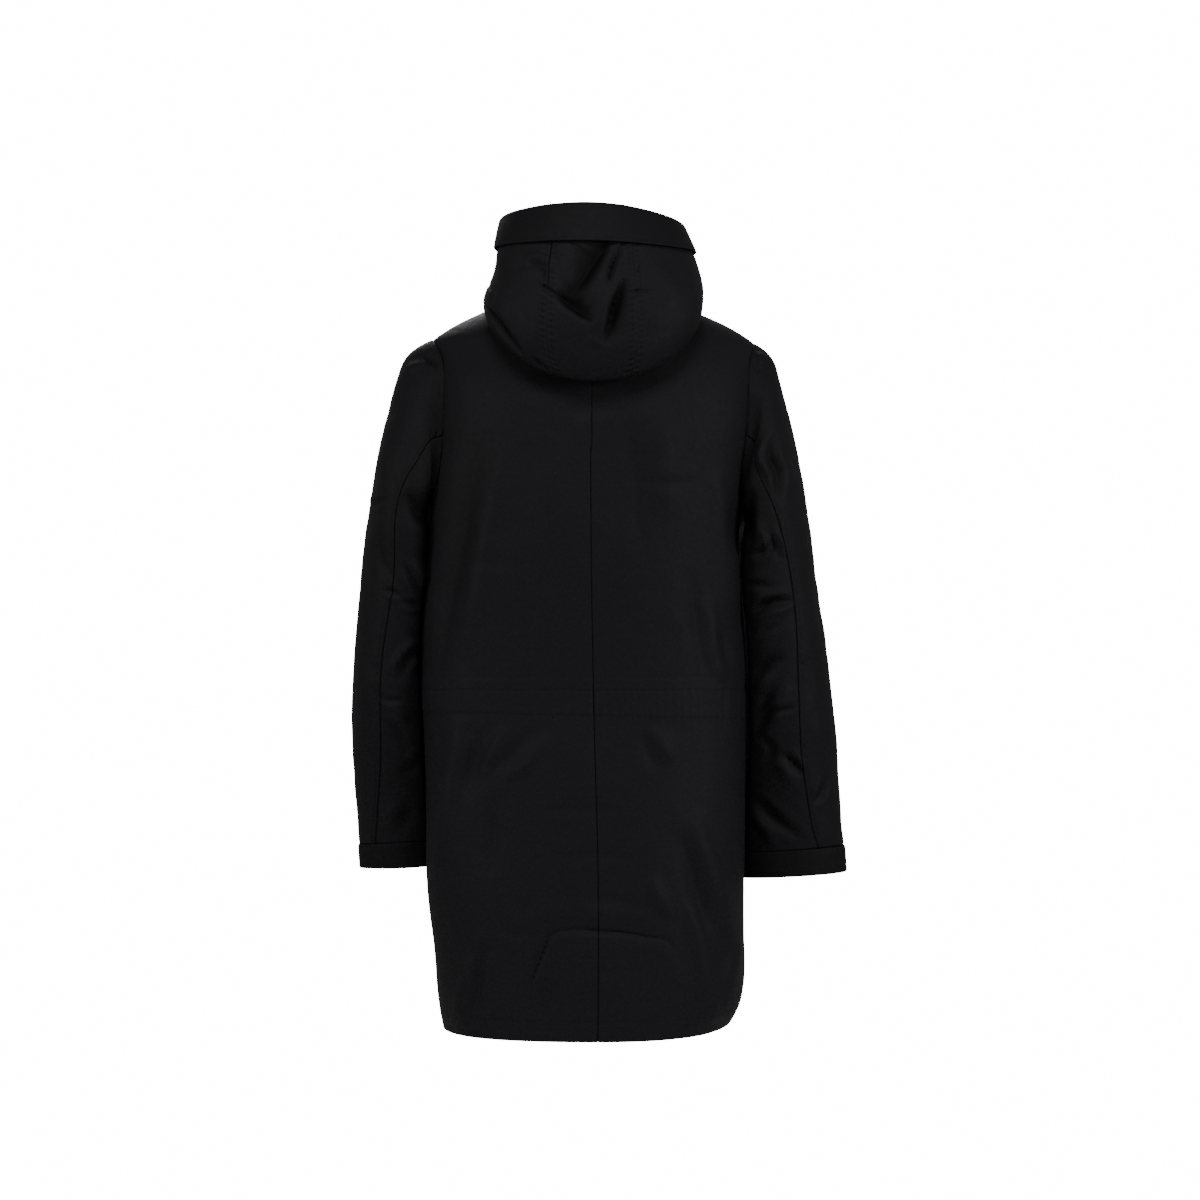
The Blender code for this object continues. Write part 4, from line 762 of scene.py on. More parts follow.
def make_patch(grid):
    """One grid of a panel with its texture place, the distances from its edges, its height, and its dark
    lines and painted shade.
    """
    across, up = lengths(grid, 1), lengths(grid, 0)
    return {
        "points": grid, "u": across, "v": up,
        "from_left": across, "from_right": across[:, -1:] - across,
        "from_bottom": up, "from_top": up[-1:] - up,
        "height": np.zeros(across.shape), "line": np.zeros(across.shape),
    }


def sink(patch, distance, depth, width=STITCH_WIDTH):
    """The dip along a line of stitches."""
    patch["height"] -= depth * bell(distance, width)


# Darkens the colour through the 'line' attribute: the seams' dark lines, and painted shade in troughs and
# where the arms lie against the body.
def darken_lines_and_paint_shade(patch, amount):
    patch["line"] = np.maximum(patch["line"], amount)


def mark(patch, distance, width, share):
    """Where a line of sewing shows darker."""
    darken_lines_and_paint_shade(patch, share * bell(distance, width))


def groove(patch, *edges, share=1.0):
    """The dip along each of these edges of a patch."""
    line_depth, line_width = SEAM_LINE
    for edge in edges:
        sink(patch, patch[edge], share * line_depth, line_width)
        sink(patch, patch[edge], *SEAM_HOLLOW)
        mark(patch, patch[edge], SEAM_DARK, share)


def fold(patch, height, shade):
    """Adds folds to a patch, with painted shade that darkens the troughs' colour."""
    patch["height"] += height
    darken_lines_and_paint_shade(patch, shade * smooth_step(-height / FULL_TROUGH))


def pucker(patch, edge, amount, wave=0.85, middle=0.5, spread=0.4, seed=3):
    """Small ripples beside a topstitched seam, uneven along it."""
    points, distance = patch["points"], patch[edge]
    run = patch["v"] if edge in ("from_left", "from_right") else patch["u"]
    clouds = 0.5 + PUCKER_PATCHY * noise(points, PUCKER_PATCH, seed + 1)
    patchy = PUCKER_LEAST + (1 - PUCKER_LEAST) * smooth_step(clouds)
    beside = bell(distance - middle, spread) * (1 - bell(distance, PUCKER_START))
    patch["height"] += amount * ripple(points, run, wave, *PUCKER_WANDER, seed) * patchy * beside
    sink(patch, distance - middle * PUCKER_STITCH, STITCH_DIP)


def clear_edges(patch, value, *edges):
    """Eases a height out where it meets another piece."""
    for edge in edges:
        value = value * (1 - bell(patch[edge], CLEAR_WIDTH))
    return value


# Panels


def make_panel(name, patches, flip):
    """One cloth piece: its patches joined where they meet, with a texture place for each face corner."""
    points, quads, places, start = [], [], [], 0
    for patch in patches:
        grid = patch["points"]
        rows, columns = grid.shape[:2]
        index = start + np.arange(rows * columns).reshape(rows, columns)
        around = [index[:-1, :-1], index[:-1, 1:], index[1:, 1:], index[1:, :-1]]
        quads.append(np.stack(around[::-1] if flip else around, axis=-1).reshape(-1, 4))
        points.append(grid.reshape(-1, 3))
        places.append(np.stack([patch["u"], patch["v"]], axis=-1).reshape(-1, 2))
        start += rows * columns
    points, quads, places = np.concatenate(points), np.concatenate(quads), np.concatenate(places)
    _, first, index = np.unique(np.round(points, 4), axis=0, return_index=True, return_inverse=True)
    index = index.reshape(-1)
    panel = {"name": name, "points": points[first], "faces": index[quads], "places": places[quads],
             "index": index, "patches": patches}
    for field in ("height", "line"):
        panel[field] = np.zeros(len(first))
        panel[field][index] = np.concatenate([patch[field].ravel() for patch in patches])
    return panel


def summed(index, values, count):
    """The sum of the values that fall to each of `count` points."""
    return np.stack([np.bincount(index, column, count) for column in values.T], axis=1)


def corner_normals(points, faces):
    a, b, c, d = (points[faces[:, i]] for i in range(4))
    across = np.cross(c - a, d - b)
    return unit(sum(summed(faces[:, i], across, len(points)) for i in range(4)))


def together(panels, values):
    """The mean over panels of a value at each point, and which points the panels share."""
    everything = np.concatenate([panel["points"] for panel in panels])
    _, index, count = np.unique(np.round(everything, 4), axis=0, return_inverse=True, return_counts=True)
    index = index.reshape(-1)
    mean = summed(index, np.concatenate(values), len(count)) / count[:, None]
    ends = np.cumsum([len(panel["points"]) for panel in panels])[:-1]
    return np.split(mean[index], ends), np.split(count[index] > 1, ends)


def displace(panels):
    """Moves each panel's points out by its heights. Pieces that meet at a seam stay joined."""
    normals, _ = together(panels, [corner_normals(panel["points"], panel["faces"]) for panel in panels])
    shifts = [unit(way) * panel["height"][:, None] for way, panel in zip(normals, panels)]
    shifts, shared = together(panels, shifts)
    for panel, shift, joined in zip(panels, shifts, shared):
        panel["final"], panel["joined"] = panel["points"] + shift, joined
    normals, _ = together(panels, [corner_normals(panel["final"], panel["faces"]) for panel in panels])
    for panel, way in zip(panels, normals):
        panel["normals"] = unit(way)
        start = 0
        for patch in panel["patches"]:
            spot = panel["index"][start : start + patch["height"].size]
            for field in ("final", "normals"):
                patch[field] = panel[field][spot].reshape(patch["points"].shape)
            start += patch["height"].size


def wall(panel, thickness):
    """The closed wall of a panel: outside, inside, and an edge, round where no other piece joins it."""
    outside, normals, faces, places = (panel[field] for field in ("final", "normals", "faces", "places"))
    count = len(outside)
    sides = [[i, (i + 1) % 4] for i in range(4)]
    ends = np.concatenate([faces[:, pair] for pair in sides])
    end_places = np.concatenate([places[:, pair] for pair in sides])
    _, index, times = np.unique(np.sort(ends, axis=1), axis=0, return_inverse=True, return_counts=True)
    free = times[index.reshape(-1)] == 1
    edges, edge_places = ends[free], end_places[free]
    along = unit(outside[edges[:, 1]] - outside[edges[:, 0]])
    outward = sum(summed(edges[:, end], -np.cross(normals[edges[:, end]], along), count) for end in (0, 1))
    rim = np.unique(edges)
    place_in_rim = np.full(count, -1)
    place_in_rim[rim] = np.arange(len(rim))
    radius = thickness / 2
    centre = outside[rim] - normals[rim] * radius
    bulge = unit(outward[rim]) * np.where(panel["joined"][rim], 0.0, 1.0)[:, None]
    points, rings = [outside, outside - normals * thickness], [edges]
    for row, turn in enumerate(np.radians(ROUND_EDGE)):
        points.append(centre + radius * (math.cos(turn) * normals[rim] + math.sin(turn) * bulge))
        rings.append(2 * count + row * len(rim) + place_in_rim[edges])
    rings.append(count + edges)
    lines = np.concatenate([panel["line"], np.zeros(count), np.tile(panel["line"][rim], len(ROUND_EDGE))])
    quads, corners = [faces, count + faces[:, ::-1]], [places, places[:, ::-1]]
    for upper, lower in zip(rings, rings[1:]):
        quads.append(np.concatenate([upper[:, ::-1], lower], axis=1))
        corners.append(np.concatenate([edge_places[:, ::-1], edge_places], axis=1))
    return np.concatenate(points), np.concatenate(quads), np.concatenate(corners), lines


def link_object(name, data):
    obj = bpy.data.objects.new(name, data)
    bpy.context.scene.collection.objects.link(obj)
    return obj


def add_object(name, points, quads, places, lines, material, sharp=55):
    """One mesh from centimetres. Edges sharper than `sharp` degrees stay sharp."""
    mesh = bpy.data.meshes.new(name)
    mesh.vertices.add(len(points))
    mesh.vertices.foreach_set("co", (points * CM).astype(np.float32).ravel())
    mesh.loops.add(quads.size)
    mesh.loops.foreach_set("vertex_index", quads.astype(np.int32).ravel())
    mesh.polygons.add(len(quads))
    mesh.polygons.foreach_set("loop_start", np.arange(0, quads.size, 4, dtype=np.int32))
    layer = mesh.uv_layers.new(name="cloth")
    layer.uv.foreach_set("vector", (places * CM).astype(np.float32).ravel())
    mesh.update(calc_edges=True)
    mesh.validate()
    mesh.shade_smooth()
    if sharp:
        mesh.set_sharp_from_angle(angle=math.radians(sharp))
    # The 'line' attribute carries the seams' dark lines and the painted shade into the colour.
    mesh.attributes.new("line", "FLOAT", "POINT").data.foreach_set("value", lines.astype(np.float32))
    mesh.materials.append(material)
    return link_object(name, mesh)


# Stitches


def line_in(values, level, *fields):
    """Where each row of `values`, which grows along it, passes the level: the fields there."""
    k = np.clip((values < level).sum(axis=1) - 1, 0, values.shape[1] - 2)
    row = np.arange(len(values))
    low, high = values[row, k], values[row, k + 1]
    part = np.clip((level - low) / np.maximum(high - low, 1e-9), 0, 1)[:, None]
    return [field[row, k] * (1 - part) + field[row, k + 1] * part for field in fields]


def sewn_line(patch, edge, distance, skipped=0):
    """The points and normals along a line of stitches, at a distance from an edge of a patch."""
    fields = [patch[field] for field in (edge, "final", "normals")]
    if edge not in ("from_left", "from_right"):
        fields = [np.swapaxes(field, 0, 1) for field in fields]
    if edge in ("from_right", "from_top"):
        fields = [field[:, ::-1] for field in fields]
    return [found[skipped:] for found in line_in(fields[0], distance, *fields[1:])]


def sewn_lines(panels):
    """Every line of stitches, for each kind of cloth."""
    patches = {panel["name"]: panel["patches"][0] for panel in panels}
    return {kind: [sewn_line(patches[name], *rest) for name, *rest in rows] for kind, rows in SEWN.items()}


def at_places(places, run, values):
    return np.stack([np.interp(places, run, values[:, i]) for i in range(3)], axis=1)


def stitches(lines):
    """Short raised threads along lines of points and normals, as quads."""
    points, quads, start = [], [], 0
    ring = np.array([(0, 1.0), (1, 0.25), (0, -0.6), (-1, 0.25)])
    for line, normals in lines:
        run = distances(line)
        at = np.arange(PITCH / 2, run[-1] - STITCH, PITCH)
        if not len(at):
            continue
        here, there = at_places(at, run, line), at_places(at + STITCH, run, line)
        up = unit(at_places(at, run, normals))
        side = unit(np.cross(up, unit(there - here)))
        for share, size, lift in THREAD_SECTIONS:
            middle = here + (there - here) * share + up * (THREAD * lift)
            spread = side[:, None] * ring[None, :, :1] + up[:, None] * ring[None, :, 1:]
            points.append((middle[:, None] + size * THREAD * spread).reshape(-1, 3))
        count = len(at)
        first = start + 4 * np.arange(count)[:, None]
        for section in range(3):
            near = first + 4 * count * section
            far = near + 4 * count
            for i in range(4):
                j = (i + 1) % 4
                quads.append(np.concatenate([near + i, near + j, far + j, far + i], axis=1))
        quads.append(first + np.arange(4)[::-1])
        quads.append(first + 12 * count + np.arange(4))
        start += 16 * count
    points, quads = np.concatenate(points), np.concatenate(quads)
    return points, quads, np.zeros((len(quads), 4, 2)), np.zeros(len(points))


# Materials


def set_inputs(tree, node, values):
    """Sets each named input of a node to a constant or to another node's output."""
    for name, value in values.items():
        if isinstance(value, bpy.types.NodeSocket):
            tree.links.new(value, node.inputs[name])
        else:
            node.inputs[name].default_value = value


def add_node(tree, kind, inputs, **settings):
    node = tree.nodes.new("ShaderNode" + kind)
    for name, value in settings.items():
        setattr(node, name, value)
    set_inputs(tree, node, inputs)
    return node


def maths(tree, operation, *values):
    """The result of a Math node on constants and outputs."""
    return add_node(tree, "Math", dict(enumerate(values)), operation=operation).outputs[0]


def new_material(name):
    material = bpy.data.materials.new(name)
    material.use_nodes = True
    tree = material.node_tree
    return material, tree, tree.nodes["Principled BSDF"]


def cotton(name, share, crinkle):
    """Dyed cotton: a fine weave, slubs, soft small wrinkles and a faint sheen. A share of the black below 1
    is painted shade, and the 'line' attribute darkens the seams' lines and paints shade.
    """
    material, tree, shader = new_material(name)
    place = add_node(tree, "UVMap", {}, uv_map="cloth").outputs["UV"]
    space = add_node(tree, "TexCoord", {}).outputs["Object"]
    axes = add_node(tree, "SeparateXYZ", {0: place}).outputs
    stretched = add_node(tree, "VectorMath", {0: place, 1: SLUB_SCALE}, operation="MULTIPLY").outputs[0]
    slub = add_node(tree, "TexNoise", {"Vector": stretched, "Scale": 1.0, "Detail": 2.0}).outputs["Fac"]
    turns = [maths(tree, "MULTIPLY", axes[i], 2 * math.pi / THREAD_PITCH) for i in (0, 1)]
    weave = maths(tree, "MULTIPLY", *(maths(tree, "SINE", turn) for turn in turns))
    woven = maths(tree, "MULTIPLY_ADD", weave, WEAVE_SHARE, slub)
    clouds = [{"Vector": space, "Scale": scale, "Detail": 3.0} for scale in (SMALL_SCALE, BROAD_SCALE)]
    small, broad = (add_node(tree, "TexNoise", cloud).outputs["Fac"] for cloud in clouds)
    threads = {"Height": woven, "Strength": THREAD_STRENGTH, "Distance": THREAD_RELIEF}
    fine = add_node(tree, "Bump", threads).outputs["Normal"]
    wrinkles = {"Height": small, "Normal": fine, "Strength": WRINKLE_STRENGTH,
                "Distance": WRINKLE_RELIEF * crinkle}
    clouded = maths(tree, "MULTIPLY_ADD", broad, MOTTLE_SHARE, slub)
    mottled = maths(tree, "MULTIPLY_ADD", clouded, MOTTLE_RANGE, MOTTLE_LEAST)
    line = add_node(tree, "Attribute", {}, attribute_name="line").outputs["Fac"]
    # Painted shade: the 'line' attribute darkens the colour in troughs and where the arms touch the body,
    # besides the seams' dark lines.
    shade = maths(tree, "MULTIPLY", mottled, maths(tree, "MULTIPLY_ADD", line, -DARKEST, 1.0))
    # Painted shade: a share below 1 darkens the black for the sleeves, cuffs and band.
    colour = {0: [share * value for value in BLACK], "Scale": shade}
    set_inputs(tree, shader, {
        "Base Color": add_node(tree, "VectorMath", colour, operation="SCALE").outputs[0],
        "Roughness": maths(tree, "MULTIPLY_ADD", small, ROUGHNESS_SPREAD, ROUGHNESS - ROUGHNESS_SPREAD / 2),
        "Normal": add_node(tree, "Bump", wrinkles).outputs["Normal"],
        "Specular IOR Level": SPECULAR,
        "Sheen Weight": SHEEN,
        "Sheen Roughness": 0.5,
        "Sheen Tint": SHEEN_TINT,
    })
    return material


def plain(name, colour, roughness):
    material, tree, shader = new_material(name)
    values = {"Base Color": (*colour, 1), "Roughness": roughness, "Specular IOR Level": SPECULAR}
    set_inputs(tree, shader, values)
    return material


# Where the points of the pieces lie


def runs(places, steps):
    """Places from the first to the last, with this many even steps from each to the next."""
    parts = [np.linspace(a, b, count + 1)[:-1] for a, b, count in zip(places, places[1:], steps)]
    return np.concatenate([*parts, places[-1:]])


NEAR_SEAM = np.array([0, 0.05, 0.1, 0.17, 0.28, 0.45])  # from a seam, in centimetres
HALF_WIDTH, CHEST_RISE, CUFF_WIDTH = 20, 15, 3.3  # rounded sizes that turn centimetres into shares
HOOD_DEGREE = 0.3  # centimetres that a degree round the hood is
EVEN_FROM, EVEN_TO = 0.04, 0.977  # shares of the half width between which the columns are even
NECK_COLUMNS, SHOULDER_COLUMNS = 24, 31
SHARES = np.concatenate([
    NEAR_SEAM / HALF_WIDTH,
    np.linspace(EVEN_FROM, NECK_SHARE, NECK_COLUMNS),
    NECK_SHARE + (EVEN_TO - NECK_SHARE) * np.linspace(0, 1, SHOULDER_COLUMNS)[1:-1],
    1 - NEAR_SEAM[::-1] / HALF_WIDTH,
])
SIDE_STEPS = 16
LOW_ROWS = runs((0, 0.1, 0.2, 0.53, 0.63, 1), (18, 37, 55, 41, 57))  # closer at the hem crease and the casing
RISE_ROWS, RISE_POWER = 52, 1.7  # rows of the chest, which lie closer towards the shoulder seam
EVEN_RISE = 1 - (1 - np.linspace(0, 1, RISE_ROWS)) ** RISE_POWER
SEAM_RISE = 0.15  # how high the sleeve's back seam meets the armhole
HIGH_ROWS = np.unique(np.concatenate([
    EVEN_RISE,
    SEAM_RISE + NEAR_SEAM / CHEST_RISE,
    SEAM_RISE - NEAR_SEAM[1:] / CHEST_RISE,
    1 - (NEAR_SEAM[1:4] / DEPTH[BACK][-1][1]) ** 2 / ARCH_POWER[BACK],
]))
MESH_STEP, LEAST_STEP = 0.33, 0.004  # from one sleeve section to the next, and the least that two may differ
CUFF_ROWS = CUFF_STATION + np.unique(np.concatenate([NEAR_SEAM[1:] / CUFF_WIDTH, np.linspace(0, 1, 13)[1:]]))
PLACKET_COLUMNS = 19
CASING_EVERY, CASING_SIDE_STEPS, CASING_ROWS = 3, 6, 9
HOOD_ROWS = runs((0, 3, HOOD_END), (15, 167))  # the first are hidden
HOOD_BEHIND = (140, 220)  # angles between which the columns lie closer
HOOD_INSET = 2.2  # from a seam to the even columns beside it, in degrees
HOOD_COLUMNS, CENTRE_COLUMNS, BAND_COLUMNS = (61, 23), 34, (75, 15, 75)
CLEARER = {"left": 0.7, "right": 0.15}  # how much clearer each hood seam is in the upper part
BAND_ROWS = np.linspace(BAND_FROM, HOOD_END, 22)


def sleeve_stations(side):
    rows = np.array(SLEEVE[side])
    step = np.diff(rows, axis=0)
    length = np.maximum(np.hypot(step[:, 0], step[:, 1]), np.hypot(step[:, 2], step[:, 3]))
    found = [NEAR_SEAM[:-1] / length[0], CUFF_STATION - NEAR_SEAM[:-1] / length[CUFF_STATION - 1]]
    for i in range(CUFF_STATION):
        found.append(i + np.linspace(0, 1, math.ceil(length[i] / MESH_STEP) + 1))
    found = np.unique(np.round(np.concatenate(found), 6))
    return found[np.concatenate([[True], np.diff(found) > LEAST_STEP])]


def sleeve_places():
    """How far round the armhole each of its points is, in even steps."""
    down = np.diff(np.interp(HIGH_ROWS, EVEN_RISE, np.arange(len(EVEN_RISE))))[::-1]
    steps = np.concatenate([down, np.ones(2 * SIDE_STEPS), down[::-1]])
    return np.concatenate([[0], np.cumsum(steps)])


# The pieces' heights and dark lines


def facing(normals, face):
    """How much a patch faces back or front, with its outline part of both."""
    return smooth_step((face * normals[..., 1] - FACING_FROM) / FACING_OVER)


def patch_normals(patch, flip):
    normals = grid_normals(patch["points"])
    return -normals if flip else normals


def body_heights(patch, face, flip, low):
    points = patch["points"]
    x, z = seen(points)
    if face == BACK:
        height = DRAPE_DEPTH * crease_height(x, z, BACK_DRAPE) + crease_height(x, z, BACK_CREASES)
    else:
        height = front_folds(points)
    fold(patch, height * facing(patch_normals(patch, flip), face), TROUGH_PAINTED_SHADE["back"])
    patch["height"] += unevenness(points, "body")
    if low:
        # Painted shade: the body's strip beside the sleeve is darkened where the arm lies against it.
        strip = ARM_STRIP[face]
        beside = smooth_step((strip - patch["from_right"]) / strip * 2)
        darken_lines_and_paint_shade(patch, ARM_PAINTED_SHADE * beside * smooth_step((points[..., 2] - ARM_STRIP_FOOT) / ARM_STRIP_FADE))
        groove(patch, "from_left", "from_right")
        from_stitch = patch["from_bottom"] - HEM_STITCH
        sink(patch, from_stitch, *HEM_DIP)
        waves = ripple(points, patch["u"], *HEM_RIPPLE)
        patch["height"] += HEM_WAVES * waves * bell(from_stitch, HEM_WAVES_REACH)
    else:
        groove(patch, "from_left", "from_top")
        groove(patch, "from_right", share=HALF_SEAM)
    if face == BACK:
        casing_marks(patch, x, z)
        tab_marks(patch, x, z)


def casing_marks(patch, x, z):
    """The casing's lines of stitches, and the ripples between and beside them."""
    points = patch["points"]
    across = np.clip((x + CASING_REACH) / (2 * CASING_REACH), 0, 1)
    names = ("casing_upper", "casing_lower")
    for name, (at_left, at_right), share in zip(names, CASING_LINES, CASING_SHARES):
        patch[name] = z - (at_right + (at_left - at_right) * across)
        sink(patch, patch[name], CLEAR_DIP)
        mark(patch, patch[name], CASING_DARK, share)
    sink(patch, z - CASING_FAINT, *CASING_FAINT_DIP)
    over = patch["casing_upper"], patch["casing_lower"]
    top, foot, blend = CASING_WITHIN
    within = smooth_step((top - over[0]) / blend) * smooth_step((over[1] - foot) / blend)
    uneven = 0.35 + 0.65 * smooth_step(0.5 + noise(points, *CASING_PATCHY))
    ripples = ripple(points, x, *CASING_RIPPLE) * uneven
    beyond = sum(bell(distance, reach) for distance, reach in zip(over, CASING_WAVES_REACH))
    patch["height"] += within * (CASING_PUFF + CASING_WAVES * ripples)
    patch["height"] += CASING_PUFF * ripples * beyond * (1 - within)


def tab_marks(patch, x, z):
    """The stitched rectangle over the hem."""
    left, right, top, foot = TAB
    away_x = np.maximum(np.maximum(right - x, x - left), 0)
    away_z = np.maximum(np.maximum(foot - z, z - top), 0)
    inside = np.minimum(np.minimum(x - right, left - x), np.minimum(z - foot, top - z))
    sink(patch, np.where(inside > 0, inside, np.hypot(away_x, away_z)), CLEAR_DIP)


def placket_heights(patch):
    """The strip rises and falls with the fronts that it lies on."""
    points = patch["points"]
    patch["height"] += unevenness(points, "placket") + front_folds(points) + unevenness(points, "body", 2)
    for edge in ("from_left", "from_right"):
        sink(patch, patch[edge] - PLACKET_STITCH, STITCH_DIP)


def sleeve_heights(patch, side, flip):
    points, normals = patch["points"], patch_normals(patch, flip)
    creases = SLEEVE_CREASES[side]
    height = crease_height(*seen(points), moved(creases, SLEEVE_DEPTH)) * facing(normals, BACK)
    hidden = moved(creases, HIDDEN_SHARE * SLEEVE_DEPTH, HIDDEN_DROP)
    height += crease_height(points[..., 0], points[..., 2], hidden) * facing(normals, FRONT)
    fold(patch, clear_edges(patch, height, "from_bottom", "from_top"), TROUGH_PAINTED_SHADE["sleeve"])
    # Painted shade: the sleeve's cloth that faces the body, below the arm level, is darkened.
    painted_shade_facing_body = smooth_step((-side * normals[..., 0] - INWARDS_FROM) / INWARDS_OVER)
    below = smooth_step((ARM_LEVEL - INWARDS_BELOW - points[..., 2]) / INWARDS_FADE)
    darken_lines_and_paint_shade(patch, ARM_PAINTED_SHADE * painted_shade_facing_body * below)
    patch["height"] += unevenness(points, "sleeve")
    groove(patch, "from_left", "from_right", "from_top")
    groove(patch, "from_bottom", share=HALF_SEAM)


def cuff_heights(patch):
    proud = CUFF_PROUD * smooth_step(patch["from_bottom"] / CUFF_RISE)
    patch["height"] += unevenness(patch["points"], "cuff") + proud
    groove(patch, "from_bottom")
    pucker(patch, "from_bottom", 0.03, wave=0.8, middle=0.35, spread=0.3, seed=23)
    sink(patch, patch["from_top"] - CUFF_STITCH, STITCH_DIP)


def hood_heights(patch, seams):
    """`seams` has each seam's edge, and how much clearer its line is in the hood's upper part."""
    points, normals = patch["points"], patch_normals(patch, False)
    height = crease_height(*seen(points), HOOD_CREASES) * facing(normals, BACK)
    height += crease_height(points[..., 0], points[..., 2], HOOD_FRONT_CREASES) * facing(normals, FRONT)
    shown = smooth_step((HOOD_ROWS[:, None] - HOOD_SHOWN_FROM) / HOOD_SHOWN_OVER)
    fold(patch, height * shown, TROUGH_PAINTED_SHADE["hood"])
    patch["height"] += unevenness(points, "hood") * shown
    upper = smooth_step((HOOD_ROWS[:, None] - HOOD_CLEAR_FROM) / HOOD_CLEAR_OVER)
    for edge, clearer in seams:
        groove(patch, edge, share=FAINT_SEAM + clearer * upper)
        pucker(patch, edge, 0.13, wave=0.78, seed=35)


# The pieces


def build_body(grids):
    """Both backs and both fronts, each with a part below the arm level and one above."""
    panels = []
    for (side, face), (low, high) in grids.items():
        flip = side == face
        lower, upper = make_patch(low), make_patch(high)
        upper["v"] = upper["v"] + lower["v"][-1, : len(SHARES)]
        under_arm = np.arange(low.shape[1])[None, :] >= len(SHARES) - 1
        lower["armhole"] = np.where(under_arm, lower["from_top"], FAR)
        body_heights(lower, face, flip, True)
        groove(lower, "armhole", share=HALF_SEAM)
        body_heights(upper, face, flip, False)
        panels.append(make_panel(f"{FACE_NAMES[face]}_{SIDE_NAMES[side]}", [lower, upper], flip))
    return panels


def build_sleeve(side, grids):
    """A sleeve's upper and under piece and its cuff."""
    hole, stations = armhole(side, grids, SHARES), sleeve_stations(side)
    back = int(np.argmin(np.abs(HIGH_ROWS[::-1] - SEAM_RISE)))
    front = len(hole) - back
    whole = sleeve_grid(side, hole, sleeve_places(), back, np.concatenate([stations, CUFF_ROWS]))
    arm, cuff = whole[: len(stations)], whole[len(stations) - 1 :]
    upper = make_patch(np.concatenate([arm[:, front:-1], arm[:, : back + 1]], axis=1))
    under, band = make_patch(arm[:, back : front + 1]), make_patch(cuff)
    flip, name = side == LEFT, SIDE_NAMES[side]
    for patch in (under, upper):
        sleeve_heights(patch, side, flip)
    pucker(upper, "from_right", 0.08, wave=1.1, seed=15)
    pucker(upper, "from_left", 0.06, wave=1.1, seed=17)
    cuff_heights(band)
    pieces = ((f"sleeve_{name}_upper", upper), (f"sleeve_{name}_under", under), (f"cuff_{name}", band))
    return [make_panel(piece, [patch], flip) for piece, patch in pieces]


def build_coat():
    grids = {(side, face): body_grids(side, face, SHARES, SIDE_STEPS, LOW_ROWS, HIGH_ROWS)
             for side in SIDE_NAMES for face in FACE_NAMES}
    panels = build_body(grids)
    for side in SIDE_NAMES:
        panels += build_sleeve(side, grids)
    displace(panels)
    placket = make_patch(placket_grid(grids, SHARES, PLACKET_COLUMNS))
    placket_heights(placket)
    casing = make_patch(casing_grid(SHARES[::CASING_EVERY], CASING_SIDE_STEPS, CASING_ROWS))
    casing["height"] += DRAPE_DEPTH * crease_height(*seen(casing["points"]), BACK_DRAPE)
    strips = [make_panel("placket", [placket], False), make_panel("waist_casing", [casing], True)]
    for strip in strips:
        displace([strip])
    return panels + strips


def build_hood():
    near = NEAR_SEAM / HOOD_DEGREE
    start, end = HOOD_SEAMS
    inner_start, inner_end = start + HOOD_INSET, end - HOOD_INSET
    left = [runs((0, HOOD_BEHIND[0], start - HOOD_INSET), HOOD_COLUMNS), start - near[::-1]]
    centre = [start + near, np.linspace(inner_start, inner_end, CENTRE_COLUMNS), end - near[::-1]]
    right = [end + near, runs((end + HOOD_INSET, HOOD_BEHIND[1], 360), HOOD_COLUMNS[::-1])]
    at_left, at_right = CLEARER["left"], CLEARER["right"]
    panels = []
    for name, angles, seams in (("hood_left", left, (("from_right", at_left),)),
                                ("hood_centre", centre, (("from_left", at_left), ("from_right", at_right))),
                                ("hood_right", right, (("from_left", at_right),))):
        patch = make_patch(hood_surface(np.concatenate(angles), HOOD_ROWS))
        hood_heights(patch, seams)
        panels.append(make_panel(name, [patch], False))
    displace(panels)
    around = np.round(runs((0, start, end, 360), BAND_COLUMNS), 6)
    patch = make_patch(band_grid(around, BAND_ROWS))
    fading = np.linspace(1, 0, BAND_TURN + len(BAND_INSIDE))
    shown = np.concatenate([np.ones(len(BAND_ROWS) - 1), fading])[:, None]
    patch["height"] += shown * unevenness(patch["points"], "band")
    sink(patch, patch["from_bottom"] - BAND_STITCH, BAND_DIP * shown)
    band = make_panel("hood_band", [patch], False)
    displace([band])
    return [*panels, band]


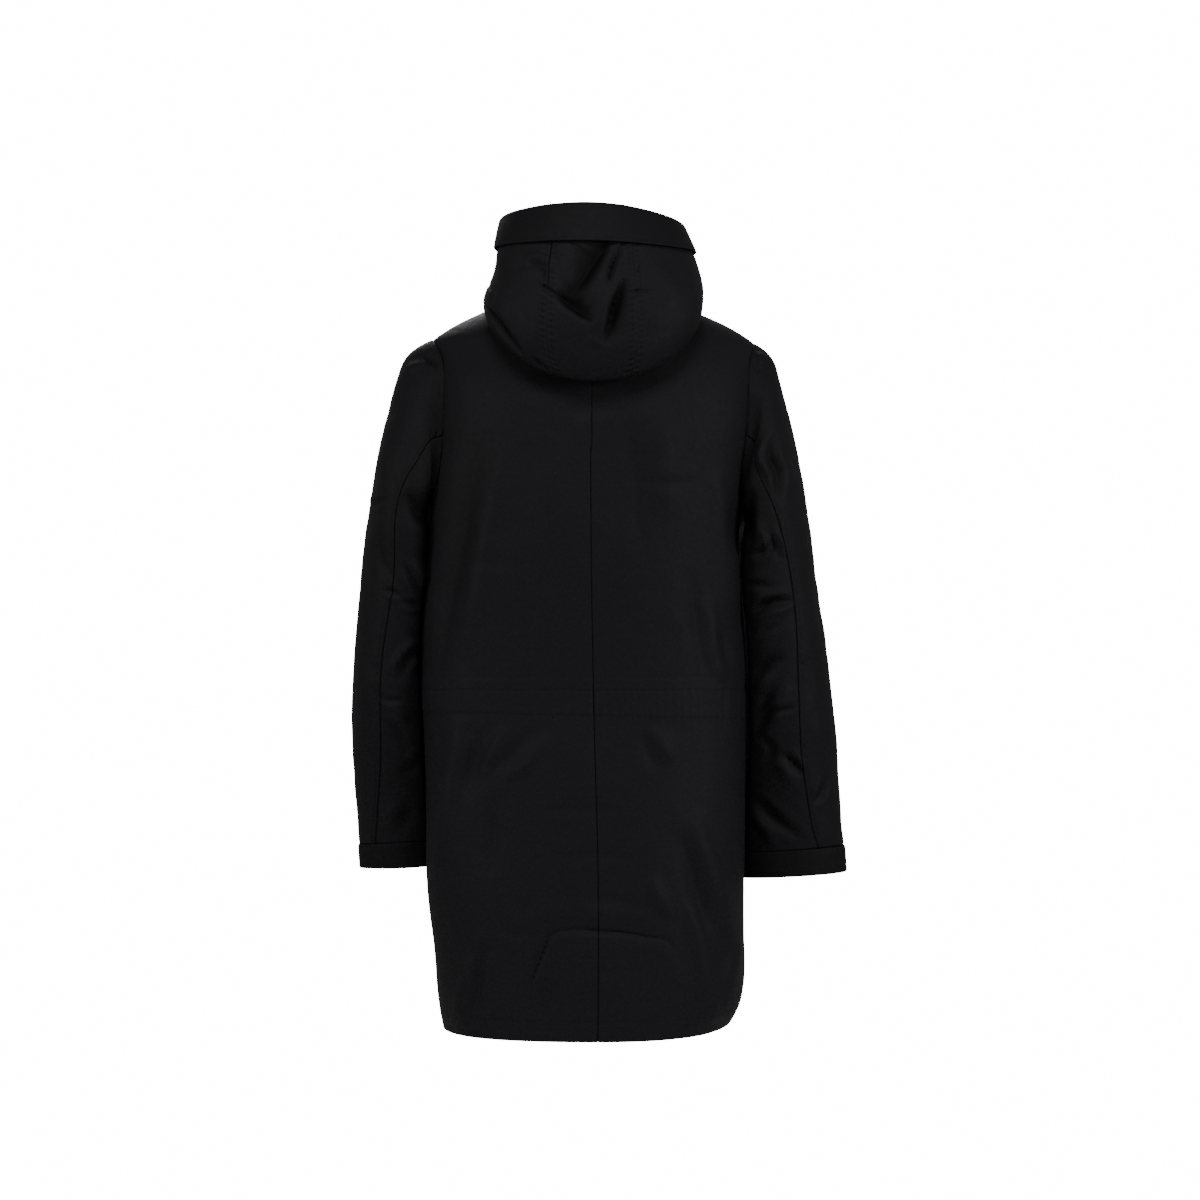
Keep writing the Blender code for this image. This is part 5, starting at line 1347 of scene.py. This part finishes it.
def main():
    cloth = {f"{kind}_cotton": cotton(f"{kind}_cotton", *look) for kind, look in CLOTHS_WITH_PAINTED_SHADE.items()}
    thread = plain("thread", THREAD_BLACK, THREAD_ROUGHNESS)
    panels = build_coat() + build_hood()
    made = {}
    for panel in panels:
        name = panel["name"]
        kind, thickness = PIECES[name][:2]
        slot = f"{kind}_cotton"
        obj = add_object(name + "_cloth", *wall(panel, thickness), cloth[slot])
        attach(obj, "root")
        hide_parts(name)
        made[name] = obj
    for kind, lines in sewn_lines(panels).items():
        obj = add_object(f"stitches_{kind}", *stitches(lines), thread, sharp=None)
        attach(obj, "root")
    return made


# The studio


def add_light(name, at, size, power):
    data = bpy.data.lights.new(name, "AREA")
    data.shape, data.size, data.energy = "DISK", size, power
    light = link_object(name, data)
    light.location = at
    light.rotation_euler = (Vector(LIGHT_AIM) - Vector(at)).to_track_quat("-Z", "Y").to_euler()


def white_world():
    """A plain white studio: soft light on the coat, and pure white where the camera sees it behind."""
    world = bpy.data.worlds.new("studio")
    world.use_nodes = True
    tree = world.node_tree
    soft = tree.nodes["Background"]
    way = add_node(tree, "TexCoord", {}).outputs["Generated"]
    ahead = maths(tree, "MULTIPLY_ADD", add_node(tree, "SeparateXYZ", {0: way}).outputs["Y"], -0.5, 0.5)
    strength = maths(tree, "MULTIPLY_ADD", maths(tree, "POWER", ahead, 2.0), BEYOND, STUDIO)
    set_inputs(tree, soft, {"Color": WHITE, "Strength": strength})
    bright = add_node(tree, "Background", {"Color": WHITE, "Strength": BACKDROP})
    camera_ray = add_node(tree, "LightPath", {}).outputs["Is Camera Ray"]
    mix = add_node(tree, "MixShader", {0: camera_ray, 1: soft.outputs[0], 2: bright.outputs[0]})
    set_inputs(tree, tree.nodes["World Output"], {"Surface": mix.outputs[0]})
    bpy.context.scene.world = world


def set_stage():
    bpy.ops.mesh.primitive_cylinder_add(vertices=96, radius=FLOOR_RADIUS, depth=FLOOR_DEPTH,
                                        location=(0, 0, FLOOR_Z - FLOOR_DEPTH / 2))
    floor = bpy.context.object
    floor.name = "floor"
    floor.data.materials.append(plain("floor", FLOOR_COLOUR, FLOOR_ROUGHNESS))
    white_world()
    for light in LIGHTS:
        add_light(*light)
    data = bpy.data.cameras.new("camera")
    data.lens, data.sensor_width = LENS, SENSOR
    camera = link_object("camera", data)
    camera.location = CAMERA_AT
    camera.rotation_euler = (math.pi / 2, 0, math.pi)
    bpy.context.scene.camera = camera


main()
set_stage()
